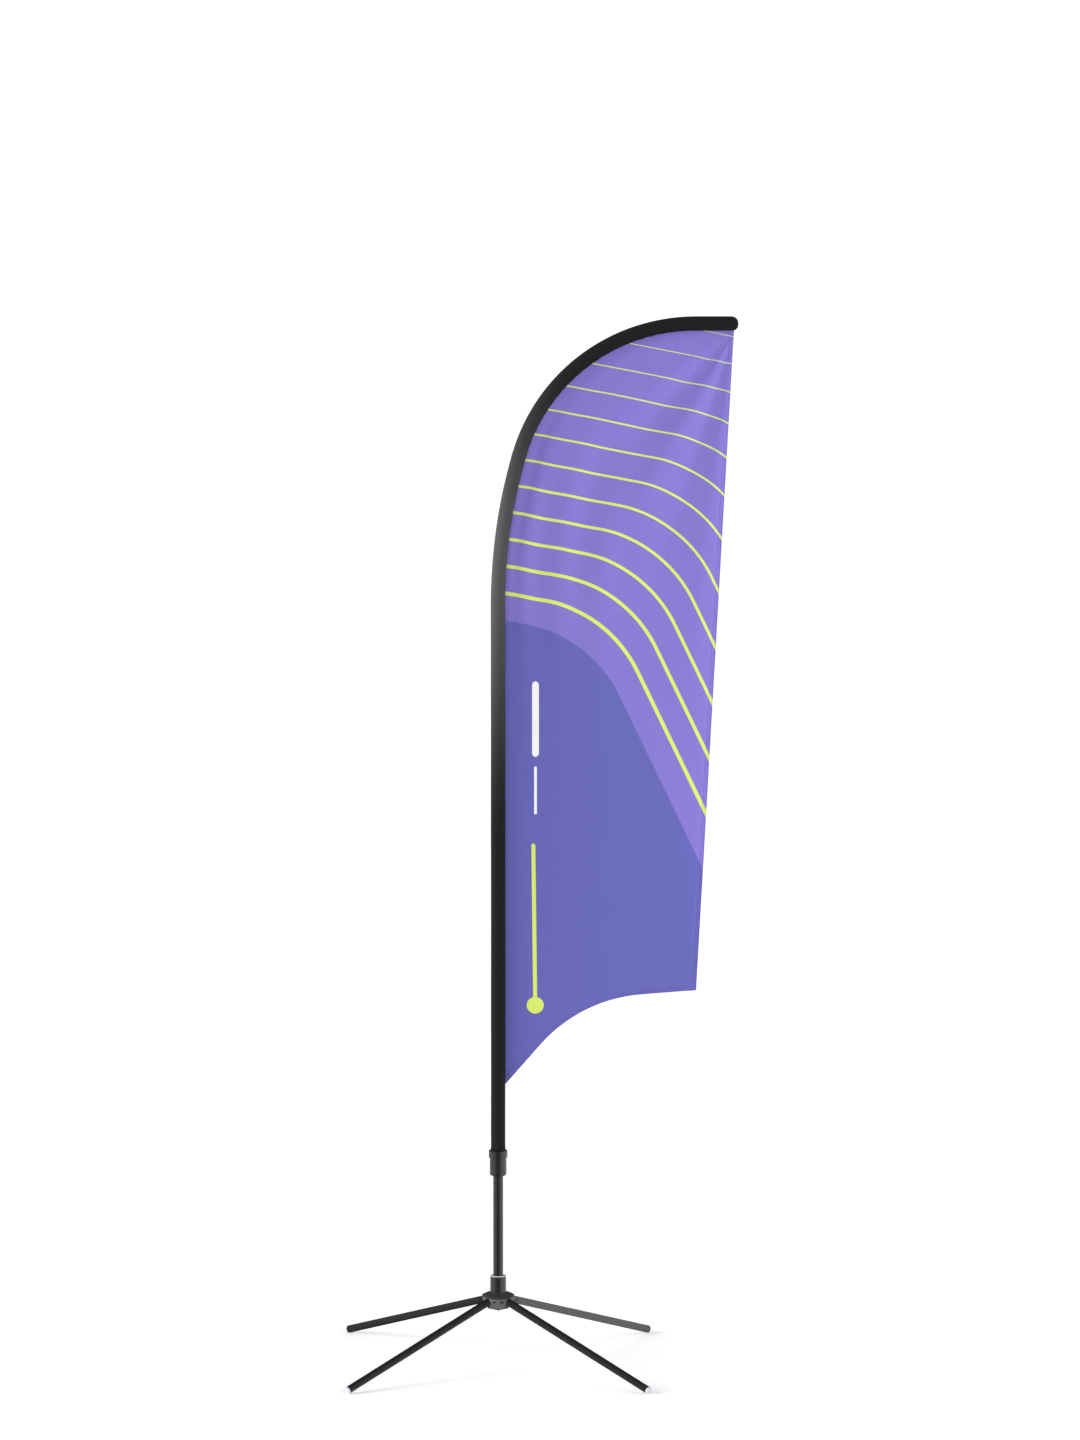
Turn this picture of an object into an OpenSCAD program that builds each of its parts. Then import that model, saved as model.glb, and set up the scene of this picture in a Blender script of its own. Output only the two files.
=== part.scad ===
// Feather flag on a folding four-leg cross base.
// Millimetres, +Z up. The origin is on the mast's axis at floor level, the flag flies towards +X.

/* [Hub] */
// Height of the hub's rim plane above the floor
hub_z = 176; // [150:1:260]
// Distance from a leg's pivot out to the hub's rim
rim_reach = 8.5; // [8:0.5:14]
// Thickness of the rim's edge
hub_rim_t = 5; // [3:0.5:5]
// Rise of the dome from the rim's edge to the socket
hub_dome_h = 8; // [4:0.5:12]
// Depth of the bowl's underside below the legs' pivots
bowl_depth = 19; // [19:1:30]
// How far the bowl steps in under the rim
bowl_step = 1.5; // [1:0.5:1.5]
// Width of the bowl's flat underside outside its core
bowl_base = 3.8; // [2:0.2:6]
// Wall of the hub's core round the socket tube, inside the legs' notches
core_wall = 2.2; // [1.6:0.1:4]
// Height of the inner lip that carries the bearing
lip_h = 9; // [9:0.5:12]
// Width of the seat that the lip gives the bearing
lip_seat = 1.5; // [1:0.25:1.5]

/* [Legs] */
// Distance from a leg's pivot to its tip
leg_len = 528; // [400:1:900]
// Outer diameter of the leg tube
leg_d = 19; // [16:0.5:20]
// Wall of the leg tube
leg_wall = 1.5; // [1:0.1:2.5]
// Diameter of the hinge pin
pin_d = 6; // [4:0.5:7]
// Half the length of the hinge pin
pin_half = 14.5; // [12:0.5:14.5]
// Width of the knuckle's tongue
tongue_w = 10; // [6:0.5:11]
// Material round the pin in the knuckle's eye
eye_wall = 4; // [3:0.25:4]
// Distance from the knuckle's eye to the end of the tube
neck_len = 1; // [1:0.25:3]
// Length of the knuckle's spigot inside the tube
spigot_len = 34; // [30:1:60]
// Distance from the tube's inner end to its rivet
rivet_in = 18; // [18:0.5:24]
// Diameter of the rivet's shank
rivet_d = 4; // [3:0.5:5]
// Thickness of the end plug's head
plug_head = 5; // [5:0.5:10]
// Length of the end plug inside the tube
plug_shank = 20; // [12:1:40]
// How much of the plug's lowest edge is ground flat
foot_cut = 1.3; // [0.6:0.1:1.4]

/* [Socket, bearing and stem] */
// Height of the socket tube above the rim plane
socket_h = 48; // [40:1:90]
// Radial depth of the bearing between the stem and the socket tube
bearing_section = 6; // [5:0.5:8]
// Wall of the socket tube
socket_wall = 1.5; // [1:0.25:1.5]
// Thickness of the bush's flange
bush_flange = 1.6; // [1:0.2:3]
// Length of the bush inside the socket
bush_len = 18; // [12:1:30]
// Outer diameter of the stem
stem_d = 25; // [20:0.5:25]
// Wall of the stem
stem_wall = 2; // [1.5:0.25:3]
// Length of the stem inside the mast
stem_in_mast = 130; // [125:1:250]
// Width of the bearing
bearing_w = 7; // [6:0.5:8]
// Diameter of the bearing's balls
ball_d = 3.8; // [3:0.1:3.9]
// Number of balls in the bearing
ball_count = 12; // [8:1:14]

/* [Collar] */
// Height of the collar's lower edge above the floor
collar_z = 483; // [380:1:700]
// Wall of the collar's body
collar_wall = 6; // [4:0.5:8]
// Height of the collar's body
collar_h = 46; // [30:1:70]
// Wall of the cup that takes the sleeve
cup_wall = 5; // [3:0.5:8]
// Gap between the sleeve and the cup
cup_gap = 1; // [0.5:0.1:2]
// Height of the cup
cup_h = 18; // [12:1:30]
// Radius of the collar's rounded lower edge
collar_round = 4; // [2:0.5:5]

/* [Mast] */
// Wall of the mast's lower tube, which slides on the stem
mast_wall = 2.42; // [1.6:0.02:3]
// Height of the joint between the lower and middle tubes
joint_low_z = 1180; // [1000:10:1300]
// Height of the joint between the middle and upper tubes
joint_high_z = 1780; // [1600:10:1800]
// Length that each mast tube sits inside the one below
joint_lap = 120; // [60:5:200]
// Wall of the middle tube
middle_wall = 1.75; // [1:0.25:2.5]
// Diameter of the bending rod
rod_d = 12; // [9:0.5:14]
// Diameter of the rod's thin tip
tip_d = 8; // [6:0.5:9]
// Height of the rings at the tube joints
ring_h = 8; // [4:1:20]

/* [Curve] */
// Height at which the mast starts to bend
bend_z = 1942; // [1850:1:2400]
// Radius of the first, gentle bend
bend_r = 1380; // [1100:10:1700]
// Angle of the first bend
bend_a = 16; // [10:1:24]
// Radius of the second, tight bend
crown_r = 460; // [380:5:600]
// Length of the level stretch after the bends
crown_level = 105; // [60:1:200]

/* [Sleeve] */
// Room between the mast's lower tube and the sleeve
sleeve_ease = 1.3; // [0.6:0.1:4]
// Thickness of the sleeve's fabric with its lining
sleeve_wall = 1.2; // [0.8:0.1:2]
// Extra thickness, inside and outside, of the seam band between the sleeve's two cut lengths
band_extra = 0.4; // [0.3:0.1:0.8]
// Half the length of the seam band
band_half = 12; // [8:1:16]

/* [Flag panel] */
// Thickness of the panel
panel_t = 1.2; // [0.8:0.1:2]
// Height of the panel's lowest corner, at the sleeve
panel_low_z = 715; // [600:5:900]
// Distance of the panel's bottom outer corner from the mast's axis
panel_foot_x = 497.5; // [420:0.5:580]
// Height of the panel's bottom outer corner
panel_foot_z = 958; // [900:1:1200]
// How far the panel's top corner stops short of the sleeve's end
panel_head_in = 10; // [6:1:40]
// Steepness of the hem next to the sleeve
hem_steep = 49; // [40:1:60]
// Steepness of the hem at its outer end
hem_shallow = 5; // [2:1:12]
// Radius that joins the hem's two straight stretches
hem_r = 380; // [200:10:420]
// How deep the panel's edge is sewn into the sleeve's seam
seam_lap = 0.5; // [0.2:0.1:0.8]

/* [Fits] */
// Radial clearance of a turning shaft
run_fit = 0.06; // [0.02:0.01:0.1]
// Radial clearance of the mast on the stem
slide_fit = 0.08; // [0.02:0.01:0.1]
// Gap between pieces that move past each other
move_gap = 0.3; // [0.2:0.05:0.3]
// Gap between pieces that are fixed to each other
fixed_gap = 0.05; // [0.02:0.01:0.05]
// Room on each side of the leg in its notch
notch_gap = 0.8; // [0.4:0.1:0.8]

/* [Hidden] */
$fn = 96;
ARC_FN = 240;  // fragments of a full circle in the wide bends
FL = 225;      // direction of each leg round the mast's axis
FR = 315;
BL = 135;
BR = 45;

leg_r = leg_d / 2;
stem_r = stem_d / 2;
socket_in_r = stem_r + bearing_section;
socket_r = socket_in_r + socket_wall;
core_r = socket_r + core_wall;
// The folded leg hangs beside the core, and the eye turns just under the rim.
pivot_r = core_r + leg_r + move_gap;
eye_r = pin_d / 2 + eye_wall;
pivot_drop = hub_rim_t + eye_r + 1;
pivot_z = hub_z - pivot_drop;
tube_gap = eye_r + neck_len;
hub_rim_r = pivot_r + rim_reach;
hub_depth = pivot_drop + bowl_depth;
bowl_base_r = core_r + bowl_base;
// The leg's slope puts the ground edge of its plug on the floor.
leg_slope = asin((pivot_z + foot_cut) / norm([leg_len, leg_r])) - atan2(leg_r, leg_len);
tube_bore_r = leg_r - leg_wall;
cheek_reach = 20;        // longer than any side of the cheeks

hub_base_z = hub_z - hub_depth;
socket_top_z = hub_z + socket_h;
lip_r = socket_in_r - lip_seat;
bearing_z = hub_base_z + lip_h;
stem_in_r = stem_r - stem_wall;
ball_r = ball_d / 2;
pitch_r = (stem_r + socket_in_r) / 2;
race_gap = 1;            // half the open width between the two races
washer_t = 1.5;
washer_r = stem_r + 2.5;
bolt_r = 4;
bolt_af = 13;            // across the flats of the bolt's head
bolt_head = 5.3;
bolt_len = 20;
stem_base_z = bearing_z + 0.5;
stem_top_z = collar_z + stem_in_mast;
stem_cap_h = 3;
cover_t = 2.5;
cover_screw_r = lip_r + 4.5;  // distance of the cover's screws from the mast's axis

mast_in_r = stem_r + slide_fit;
mast_r = mast_in_r + mast_wall;
collar_r = mast_r + collar_wall;
cup_z = collar_z + collar_h;
cup_floor = 2;
collar_lip = 4;
middle_r = mast_in_r - slide_fit;
middle_in_r = middle_r - middle_wall;
upper_r = middle_in_r - slide_fit;
rod_r = rod_d / 2;
tip_r = tip_d / 2;
sleeve_in_r = mast_r + sleeve_ease;
sleeve_r = sleeve_in_r + sleeve_wall;
cup_in_r = sleeve_r + cup_gap;
cup_r = cup_in_r + cup_wall;
sleeve_z = cup_z + cup_floor + 1;

// Centres of the two bends, in the flag's plane.
bend_c = [bend_r, bend_z];
crown_c = bend_c + (bend_r - crown_r) * [-cos(bend_a), sin(bend_a)];
crown_z = crown_c[1] + crown_r;
sleeve_end_x = crown_c[0] + crown_level;

// ---- Helpers ----

// Points along an arc, from angle a0 to a1.
function arc_points(c, r, a0, a1, n) =
    [for (i = [0:n]) let (a = a0 + (a1 - a0) * i / n) c + r * [cos(a), sin(a)]];

module ring_2d(outer, inner) {
    difference() {
        circle(outer);
        circle(inner);
    }
}

// A tube with its axis on Z.
module tube(outer, inner, z0, z1) {
    translate([0, 0, z0]) linear_extrude(z1 - z0) ring_2d(outer, inner);
}

module rod(r, z0, z1) {
    translate([0, 0, z0]) cylinder(r = r, h = z1 - z0);
}

// Sweeps a flat section round the origin in the plane of the flag, from angle a0 to a1.
module arc(r, a0, a1) {
    rotate([90, 0, 0]) rotate_extrude(angle = a1 - a0, start = a0, $fn = ARC_FN)
        translate([r, 0]) children();
}

// The first bend, from turn a0 to turn a1 of the mast out of the upright.
module bend(a1 = bend_a, a0 = 0) {
    translate([bend_c[0], 0, bend_c[1]]) mirror([1, 0, 0]) arc(bend_r, a0, a1) children();
}

// The second bend and the level stretch after it, which share one frame so that they meet exactly.
module crown(level_end, a1 = 180 - bend_a) {
    on_crown() {
        arc(crown_r, 90, a1) children();
        level(0, level_end) children();
    }
}

module on_crown() {
    translate([crown_c[0], 0, crown_c[1]]) children();
}

// Carries a flat section level along +X over the crown's centre.
module level(x0, x1) {
    translate([x0, 0, crown_r]) rotate([0, 90, 0]) linear_extrude(x1 - x0) children();
}

// Puts children, drawn with the leg's axis on +X from its pivot, in one leg's place.
module on_leg(direction) {
    rotate([0, 0, direction]) translate([pivot_r, 0, pivot_z]) rotate([0, leg_slope, 0]) children();
}

// A cylinder along the leg's axis.
module along(r, x0, x1) {
    translate([x0, 0, 0]) rotate([0, 90, 0]) cylinder(r = r, h = x1 - x0);
}

// A cylinder across the leg, centred.
module across(r, half) {
    rotate([90, 0, 0]) cylinder(r = r, h = 2 * half, center = true);
}

// ---- Base ----

// The outline of the dome, rim and bowl, turned round the mast's axis.
module hub_body() {
    dome_c = (pow(socket_r, 2) + pow(hub_dome_h, 2) - pow(hub_rim_r, 2)) / (2 * hub_dome_h);
    dome_r = norm([hub_rim_r, dome_c]);
    bowl_top_r = hub_rim_r - bowl_step;
    bowl_h = hub_depth - hub_rim_t;
    bowl = [for (i = [0:10])
        [bowl_base_r + (bowl_top_r - bowl_base_r) * cos(9 * i), -hub_rim_t - bowl_h * sin(9 * i)]];
    translate([0, 0, hub_z]) {
        intersection() {
            translate([0, 0, dome_c]) sphere(r = dome_r);
            cylinder(r = hub_rim_r, h = 2 * hub_dome_h);
        }
        rotate_extrude()
            polygon(concat([[0, 0], [hub_rim_r, 0], [hub_rim_r, -hub_rim_t]], bowl, [[0, -hub_depth]]));
    }
}

// What stays between the tongue's slot and the tube's notch: two cheeks round the pin.
module cheeks() {
    rotate([90, 0, 0]) linear_extrude(cheek_reach * 2, center = true) {
        circle(tube_gap - move_gap);
        rotate(-leg_slope) translate([-cheek_reach, 0])
            square([cheek_reach + tube_gap - move_gap, cheek_reach]);
        translate([-cheek_reach, -tube_gap + move_gap]) square([cheek_reach, cheek_reach * 2]);
    }
}

module leg_notch(direction) {
    slot_top = eye_r + move_gap + 0.2;
    notch_h = hub_depth - hub_rim_t + 1;
    notch_w = leg_d + 2 * notch_gap;
    slot_w = tongue_w + 2 * move_gap;
    slot_in = eye_r + move_gap + 0.2;
    rotate([0, 0, direction]) translate([pivot_r, 0, pivot_z]) {
        difference() {
            translate([core_r - pivot_r, -notch_w / 2, pivot_drop - hub_rim_t - notch_h])
                cube([hub_rim_r, notch_w, notch_h]);
            cheeks();
        }
        translate([-slot_in, -slot_w / 2, slot_top - hub_depth]) cube([hub_rim_r, slot_w, hub_depth]);
        across(pin_d / 2 + fixed_gap, 24);
    }
}

module hub() {
    color("#3a3a3c") difference() {
        hub_body();
        rod(socket_r, bearing_z, hub_z + 2 * hub_dome_h);
        rod(lip_r, hub_base_z - 1, bearing_z + 1);
        for (d = [FL, FR, BL, BR]) leg_notch(d);
        for (d = [0:90:270]) rotate([0, 0, d]) translate([cover_screw_r, 0, hub_base_z - 1])
            cylinder(r = 1.5 + fixed_gap, h = 9);
    }
}

module socket_tube() {
    color("#4f4f52") tube(socket_r, socket_in_r, bearing_z, socket_top_z);
}

module top_bush() {
    color("#d8d8dc") {
        tube(socket_in_r, stem_r + run_fit, socket_top_z - bush_len, socket_top_z);
        tube(socket_r - 0.3, stem_r + run_fit, socket_top_z, socket_top_z + bush_flange);
    }
}

module race(outer, inner) {
    groove = ball_r + 0.05;
    translate([0, 0, bearing_z]) rotate_extrude() difference() {
        translate([inner, 0]) square([outer - inner, bearing_w]);
        translate([pitch_r, bearing_w / 2]) circle(groove);
    }
}

module each_ball() {
    for (i = [1:ball_count]) rotate([0, 0, i * 360 / ball_count])
        translate([pitch_r, 0, bearing_z + bearing_w / 2]) children();
}

module bearing_outer_race() {
    color("#b9bcc0") race(socket_in_r, pitch_r + race_gap);
}

module bearing_balls() {
    color("#c9ccd0") each_ball() sphere(r = ball_r, $fn = 48);
}

module bearing_cage() {
    color("#b08a3c") difference() {
        tube(pitch_r + 0.6, pitch_r - 0.6, bearing_z + 1, bearing_z + bearing_w - 1);
        each_ball() rotate([0, 90, 0]) cylinder(r = ball_r + 0.1, h = 4, center = true);
    }
}

module bearing_inner_race() {
    color("#b9bcc0") race(pitch_r - race_gap, stem_r);
}

module bottom_cover() {
    color("#2c2c2e") translate([0, 0, hub_base_z - cover_t]) linear_extrude(cover_t) difference() {
        intersection() {
            circle(r = sqrt(2) * (core_r - 1), $fn = 4);
            circle(bowl_base_r - 0.5);
        }
        for (d = [0:90:270]) rotate(d) translate([cover_screw_r, 0]) circle(1.5 + fixed_gap);
    }
}

module cover_screws() {
    head_h = 2;
    color("#8c8c8f") for (d = [0:90:270]) rotate([0, 0, d])
        translate([cover_screw_r, 0, hub_base_z - cover_t]) difference() {
            union() {
                cylinder(r = 1.5, h = 9);
                translate([0, 0, -head_h]) cylinder(r = 2.8, h = head_h);
            }
            translate([0, 0, -head_h - 1]) cylinder(r = 1.4, h = 2.2, $fn = 6);
        }
}

module hinge_pins() {
    color("#77777a") for (d = [FL, FR, BL, BR]) rotate([0, 0, d])
        translate([pivot_r, 0, pivot_z]) across(pin_d / 2, pin_half);
}

// ---- Legs ----

module leg_tube(direction) {
    color("#242424") on_leg(direction) difference() {
        along(leg_r, tube_gap, leg_len - plug_head);
        along(tube_bore_r, tube_gap - 1, leg_len - plug_head + 1);
        translate([tube_gap + rivet_in, 0, 0]) across(rivet_d / 2 + fixed_gap, leg_d);
    }
}

module leg_knuckle(direction) {
    neck_h = eye_r * 1.8;
    color("#343436") on_leg(direction) difference() {
        union() {
            across(eye_r, tongue_w / 2);
            translate([0, -tongue_w / 2, -neck_h / 2]) cube([tube_gap, tongue_w, neck_h]);
            along(tube_bore_r - fixed_gap, tube_gap, tube_gap + spigot_len);
        }
        across(pin_d / 2 + run_fit, tongue_w);
        translate([tube_gap + rivet_in, 0, 0]) across(rivet_d / 2 + fixed_gap, leg_d);
    }
}

module leg_rivet(direction) {
    head_r = rivet_d * 0.85;
    head_h = 1.3;
    color("#8c8c8f") on_leg(direction) translate([tube_gap + rivet_in, 0, 0]) {
        across(rivet_d / 2, leg_r + 0.5);
        for (side = [-90, 90]) rotate([side, 0, 0]) translate([0, 0, leg_r + 0.02])
            rotate_extrude() polygon([[0, 0], [head_r, 0], [head_r * 0.8, head_h * 0.7],
                [head_r * 0.45, head_h], [0, head_h]]);
    }
}

// A plastic plug whose lowest edge is ground flat to stand on the floor.
module leg_plug(direction) {
    edge = 0.8;
    color("#e4e4e6") difference() {
        on_leg(direction) {
            along(tube_bore_r - fixed_gap, leg_len - plug_head - plug_shank, leg_len - plug_head);
            along(leg_r, leg_len - plug_head, leg_len - edge);
            translate([leg_len - edge, 0, 0]) rotate([0, 90, 0])
                cylinder(r1 = leg_r, r2 = leg_r - edge, h = edge);
        }
        translate([0, 0, -50]) cube([4 * leg_len, 4 * leg_len, 100], center = true);
    }
}

// ---- Turning stem ----

module stem_tube() {
    color("#2b2b2d") tube(stem_r, stem_in_r, stem_base_z, stem_top_z);
}

module stem_collar() {
    color("#9a9ca0") tube(pitch_r - race_gap + 0.5, stem_r, bearing_z + bearing_w,
        bearing_z + bearing_w + 6);
}

module stem_foot_plug() {
    color("#9a9ca0") tube(stem_in_r, bolt_r + fixed_gap, stem_base_z, stem_base_z + bolt_len + 2);
}

module stem_foot_washer() {
    color("#b9bcc0") tube(washer_r, bolt_r + fixed_gap, bearing_z - washer_t, bearing_z);
}

module stem_foot_bolt() {
    head_z = bearing_z - washer_t;
    color("#8c8c8f") {
        rod(bolt_r, head_z, head_z + bolt_len);
        translate([0, 0, head_z - bolt_head])
            cylinder(r = bolt_af / 2 / cos(30), h = bolt_head, $fn = 6);
    }
}

module stem_top_plug() {
    color("#2c2c2e") {
        rod(stem_in_r, stem_top_z - 15, stem_top_z);
        rod(stem_r - 0.2, stem_top_z, stem_top_z + stem_cap_h);
    }
}

// ---- Mast ----

module collar() {
    bore_r = mast_r + fixed_gap;
    foot = arc_points([collar_r - collar_round, collar_z + collar_round], collar_round, -90, 0, 6);
    color("#454548") difference() {
        rotate_extrude() polygon(concat(
            [[mast_in_r, collar_z]],
            foot,
            [[collar_r, cup_z], [cup_r, cup_z], [cup_r, cup_z + cup_h - 1],
                [cup_r - 1, cup_z + cup_h], [cup_in_r, cup_z + cup_h], [cup_in_r, cup_z + cup_floor],
                [bore_r, cup_z + cup_floor], [bore_r, collar_z + collar_lip],
                [mast_in_r, collar_z + collar_lip]]));
        translate([0, mast_r, collar_z + collar_h / 2]) rotate([-90, 0, 0])
            cylinder(r = 2.5 + fixed_gap, h = 2 * collar_r);
    }
}

// The set screw that holds the collar on the mast, at the back.
module collar_screw() {
    color("#8c8c8f") translate([0, mast_r + 0.1, collar_z + collar_h / 2]) rotate([-90, 0, 0])
        difference() {
            cylinder(r = 2.5, h = collar_wall - 0.6);
            translate([0, 0, 2.5]) cylinder(r = 1.4, h = collar_wall, $fn = 6);
        }
}

module mast_lower_tube() {
    color("#a5a8ac") tube(mast_r, mast_in_r, collar_z + collar_lip + 0.1, joint_low_z);
}

// The plug inside the lower tube that rests on the top of the stem.
module mast_stop() {
    stop_z = stem_top_z + stem_cap_h + move_gap;
    color("#2c2c2e") rod(mast_in_r - fixed_gap, stop_z, stop_z + 14);
}

module mast_lower_ring() {
    color("#2c2c2e") tube(mast_r, middle_r + fixed_gap, joint_low_z, joint_low_z + ring_h);
}

module mast_middle_tube() {
    color("#33373d") tube(middle_r, middle_in_r, joint_low_z - joint_lap, joint_high_z);
}

module mast_upper_ring() {
    color("#2c2c2e") tube(middle_r, upper_r + fixed_gap, joint_high_z, joint_high_z + ring_h);
}

module mast_upper_tube() {
    color("#33373d") tube(upper_r, rod_r + slide_fit, joint_high_z - joint_lap, bend_z - 40);
}

module mast_rod() {
    color("#d9d6c8") {
        rod(rod_r, joint_high_z, bend_z);
        bend() circle(rod_r);
    }
}

// The metal ferrule on the end of the rod, which the thin tip goes into.
module rod_ferrule() {
    half_a = 30 / bend_r * 180 / PI;
    color("#b9bcc0") bend(bend_a + half_a, bend_a - half_a) ring_2d(rod_r + 1.5, rod_r + fixed_gap);
}

module mast_tip() {
    color("#d9d6c8") crown(crown_level - 20) circle(tip_r);
}

module tip_cap() {
    cap_r = tip_r + 3;
    x1 = crown_level - sleeve_wall - cap_r - 2;
    color("#2c2c2e") on_crown() difference() {
        union() {
            level(x1 - 30, x1) circle(cap_r);
            translate([x1, 0, crown_r]) sphere(r = cap_r);
        }
        level(x1 - 31, crown_level - 20 + fixed_gap) circle(tip_r + fixed_gap);
    }
}

// ---- Flag ----

// The pole pocket: a straight tube of fabric, two bends, a level stretch and a closed round end.
// A seam band joins its two cut lengths between the bends.
module pole_sleeve() {
    end_x = crown_level - sleeve_r;
    stop_bend = band_half / 2 / bend_r * 180 / PI;
    stop_crown = band_half / 2 / crown_r * 180 / PI;
    color("#242424") {
        tube(sleeve_r, sleeve_in_r, sleeve_z, bend_z);
        bend(bend_a - stop_bend) ring_2d(sleeve_r, sleeve_in_r);
        crown(end_x, 180 - bend_a - stop_crown) ring_2d(sleeve_r, sleeve_in_r);
        on_crown() {
            rotate([0, bend_a, 0]) translate([-crown_r, 0, 0])
                tube(sleeve_r + band_extra, sleeve_in_r - band_extra, -band_half, band_half);
            translate([end_x, 0, crown_r]) rotate([0, 90, 0]) rotate_extrude() intersection() {
                ring_2d(sleeve_r, sleeve_in_r);
                square(2 * sleeve_r);
            }
        }
    }
}

// The panel: it follows the sleeve, its outer edge is straight, and its hem sweeps up.
module flag_panel() {
    edge = sleeve_r - seam_lap;
    head = [sleeve_end_x - panel_head_in, crown_z - edge];
    foot = [panel_foot_x, panel_foot_z];
    k0 = tan(hem_steep);
    k1 = tan(hem_shallow);
    corner_x = (foot[1] - panel_low_z - k1 * foot[0] + k0 * edge) / (k0 - k1);
    corner = [corner_x, panel_low_z + k0 * (corner_x - edge)];
    turn_in = hem_r * tan((hem_steep - hem_shallow) / 2);
    hem_c = corner - turn_in * [cos(hem_steep), sin(hem_steep)]
        + hem_r * [sin(hem_steep), -cos(hem_steep)];
    outline = concat(
        [[edge, panel_low_z]],
        arc_points(bend_c, bend_r - edge, 180, 180 - bend_a, 8),
        arc_points(crown_c, crown_r - edge, 180 - bend_a, 90, 32),
        [head, foot],
        arc_points(hem_c, hem_r, 90 + hem_shallow, 90 + hem_steep, 14));
    color("#8a7dd3") rotate([90, 0, 0]) linear_extrude(panel_t, center = true) polygon(outline);
}

hub();
socket_tube();
top_bush();
bearing_outer_race();
bearing_balls();
bearing_cage();
bottom_cover();
cover_screws();
hinge_pins();
leg_tube(FL);  // leg_tube_front_left
leg_tube(FR);  // leg_tube_front_right
leg_tube(BL);  // leg_tube_back_left
leg_tube(BR);  // leg_tube_back_right
leg_knuckle(FL);  // leg_knuckle_front_left
leg_knuckle(FR);  // leg_knuckle_front_right
leg_knuckle(BL);  // leg_knuckle_back_left
leg_knuckle(BR);  // leg_knuckle_back_right
leg_rivet(FL);  // leg_rivet_front_left
leg_rivet(FR);  // leg_rivet_front_right
leg_rivet(BL);  // leg_rivet_back_left
leg_rivet(BR);  // leg_rivet_back_right
leg_plug(FL);  // leg_plug_front_left
leg_plug(FR);  // leg_plug_front_right
leg_plug(BL);  // leg_plug_back_left
leg_plug(BR);  // leg_plug_back_right
stem_tube();
stem_collar();
bearing_inner_race();
stem_foot_plug();
stem_foot_washer();
stem_foot_bolt();
stem_top_plug();
collar();
collar_screw();
mast_lower_tube();
mast_stop();
mast_lower_ring();
mast_middle_tube();
mast_upper_ring();
mast_upper_tube();
mast_rod();
rod_ferrule();
mast_tip();
tip_cap();
pole_sleeve();
flag_panel();
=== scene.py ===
"""Feather flag on a folding cross base: the cloth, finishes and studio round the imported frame.

Sizes inside the classes are millimetres, and become metres where a mesh is made.
"""

import logging
import math
from dataclasses import dataclass, field
from enum import Enum
from typing import Any

import bpy
import numpy as np
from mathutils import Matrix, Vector
from mathutils.geometry import delaunay_2d_cdt


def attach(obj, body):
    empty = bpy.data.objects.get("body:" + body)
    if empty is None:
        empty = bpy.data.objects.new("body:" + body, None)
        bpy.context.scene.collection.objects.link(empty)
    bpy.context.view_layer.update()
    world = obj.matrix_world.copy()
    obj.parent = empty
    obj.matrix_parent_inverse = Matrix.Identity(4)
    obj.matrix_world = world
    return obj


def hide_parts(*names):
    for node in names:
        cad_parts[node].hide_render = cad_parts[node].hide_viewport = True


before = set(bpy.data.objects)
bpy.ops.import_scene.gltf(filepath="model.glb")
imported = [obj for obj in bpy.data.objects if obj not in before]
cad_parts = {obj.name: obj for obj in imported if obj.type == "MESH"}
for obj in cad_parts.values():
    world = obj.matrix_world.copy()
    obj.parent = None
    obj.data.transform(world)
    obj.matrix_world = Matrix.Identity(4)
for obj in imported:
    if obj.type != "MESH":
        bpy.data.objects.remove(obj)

LOG = logging.getLogger("feather_flag")
MM = 0.001
FULL_TURN = 2 * math.pi
COAT_ROUGHNESS = 0.25
LEAST_ROUGHNESS = 0.03
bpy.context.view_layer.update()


class Slot(str, Enum):
    """The record's material slots for the cloth pieces; nothing in the script reads them."""

    SLEEVE = "sleeve_fabric"
    FLAG = "flag_fabric"


class Print(Enum):
    """The inks of the flag's print, in the order of the panel's material slots."""

    MAUVE = 0
    VIOLET = 1
    LIME = 2
    WHITE = 3


# ---- Colour and node helpers ----


def linear(hex_colour: str) -> tuple[float, float, float, float]:
    """Turns an sRGB hex colour into the linear values that shaders take.

    Args:
        hex_colour: Six hex digits with a leading #.

    Returns:
        Red, green, blue and a full alpha, linear.
    """
    parts = [int(hex_colour[i : i + 2], 16) / 255 for i in (1, 3, 5)]
    lin = [c / 12.92 if c <= 0.04045 else ((c + 0.055) / 1.055) ** 2.4 for c in parts]
    return (lin[0], lin[1], lin[2], 1.0)


def add_node(
    tree: bpy.types.NodeTree,
    kind: str,
    settings: dict[str, Any] | None = None,
    links: dict[Any, Any] | None = None,
) -> bpy.types.Node:
    """Adds a shader node with its settings and what goes into it.

    Args:
        tree: The material's or world's node tree.
        kind: The node's type without its ShaderNode prefix.
        settings: Attributes to set on the node.
        links: Socket name or number to a value, or to another node's output.

    Returns:
        The new node.
    """
    node = tree.nodes.new("ShaderNode" + kind)
    for key, value in (settings or {}).items():
        setattr(node, key, value)
    for key, value in (links or {}).items():
        socket = node.inputs[key]
        if isinstance(value, bpy.types.NodeSocket):
            tree.links.new(value, socket)
        else:
            socket.default_value = value
    return node


def per_mm(size_mm: float) -> float:
    """The texture scale whose features are about size_mm across, in metre coordinates."""
    return 1 / (size_mm * MM)


def own_place(tree: bpy.types.NodeTree) -> bpy.types.NodeSocket:
    """The piece's own coordinates, in metres."""
    return add_node(tree, "TexCoord").outputs["Object"]


def one_axis(
    tree: bpy.types.NodeTree, vector: bpy.types.NodeSocket, axis: str
) -> bpy.types.NodeSocket:
    """The X, Y or Z of a vector."""
    return add_node(tree, "SeparateXYZ", None, {0: vector}).outputs[axis]


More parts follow.
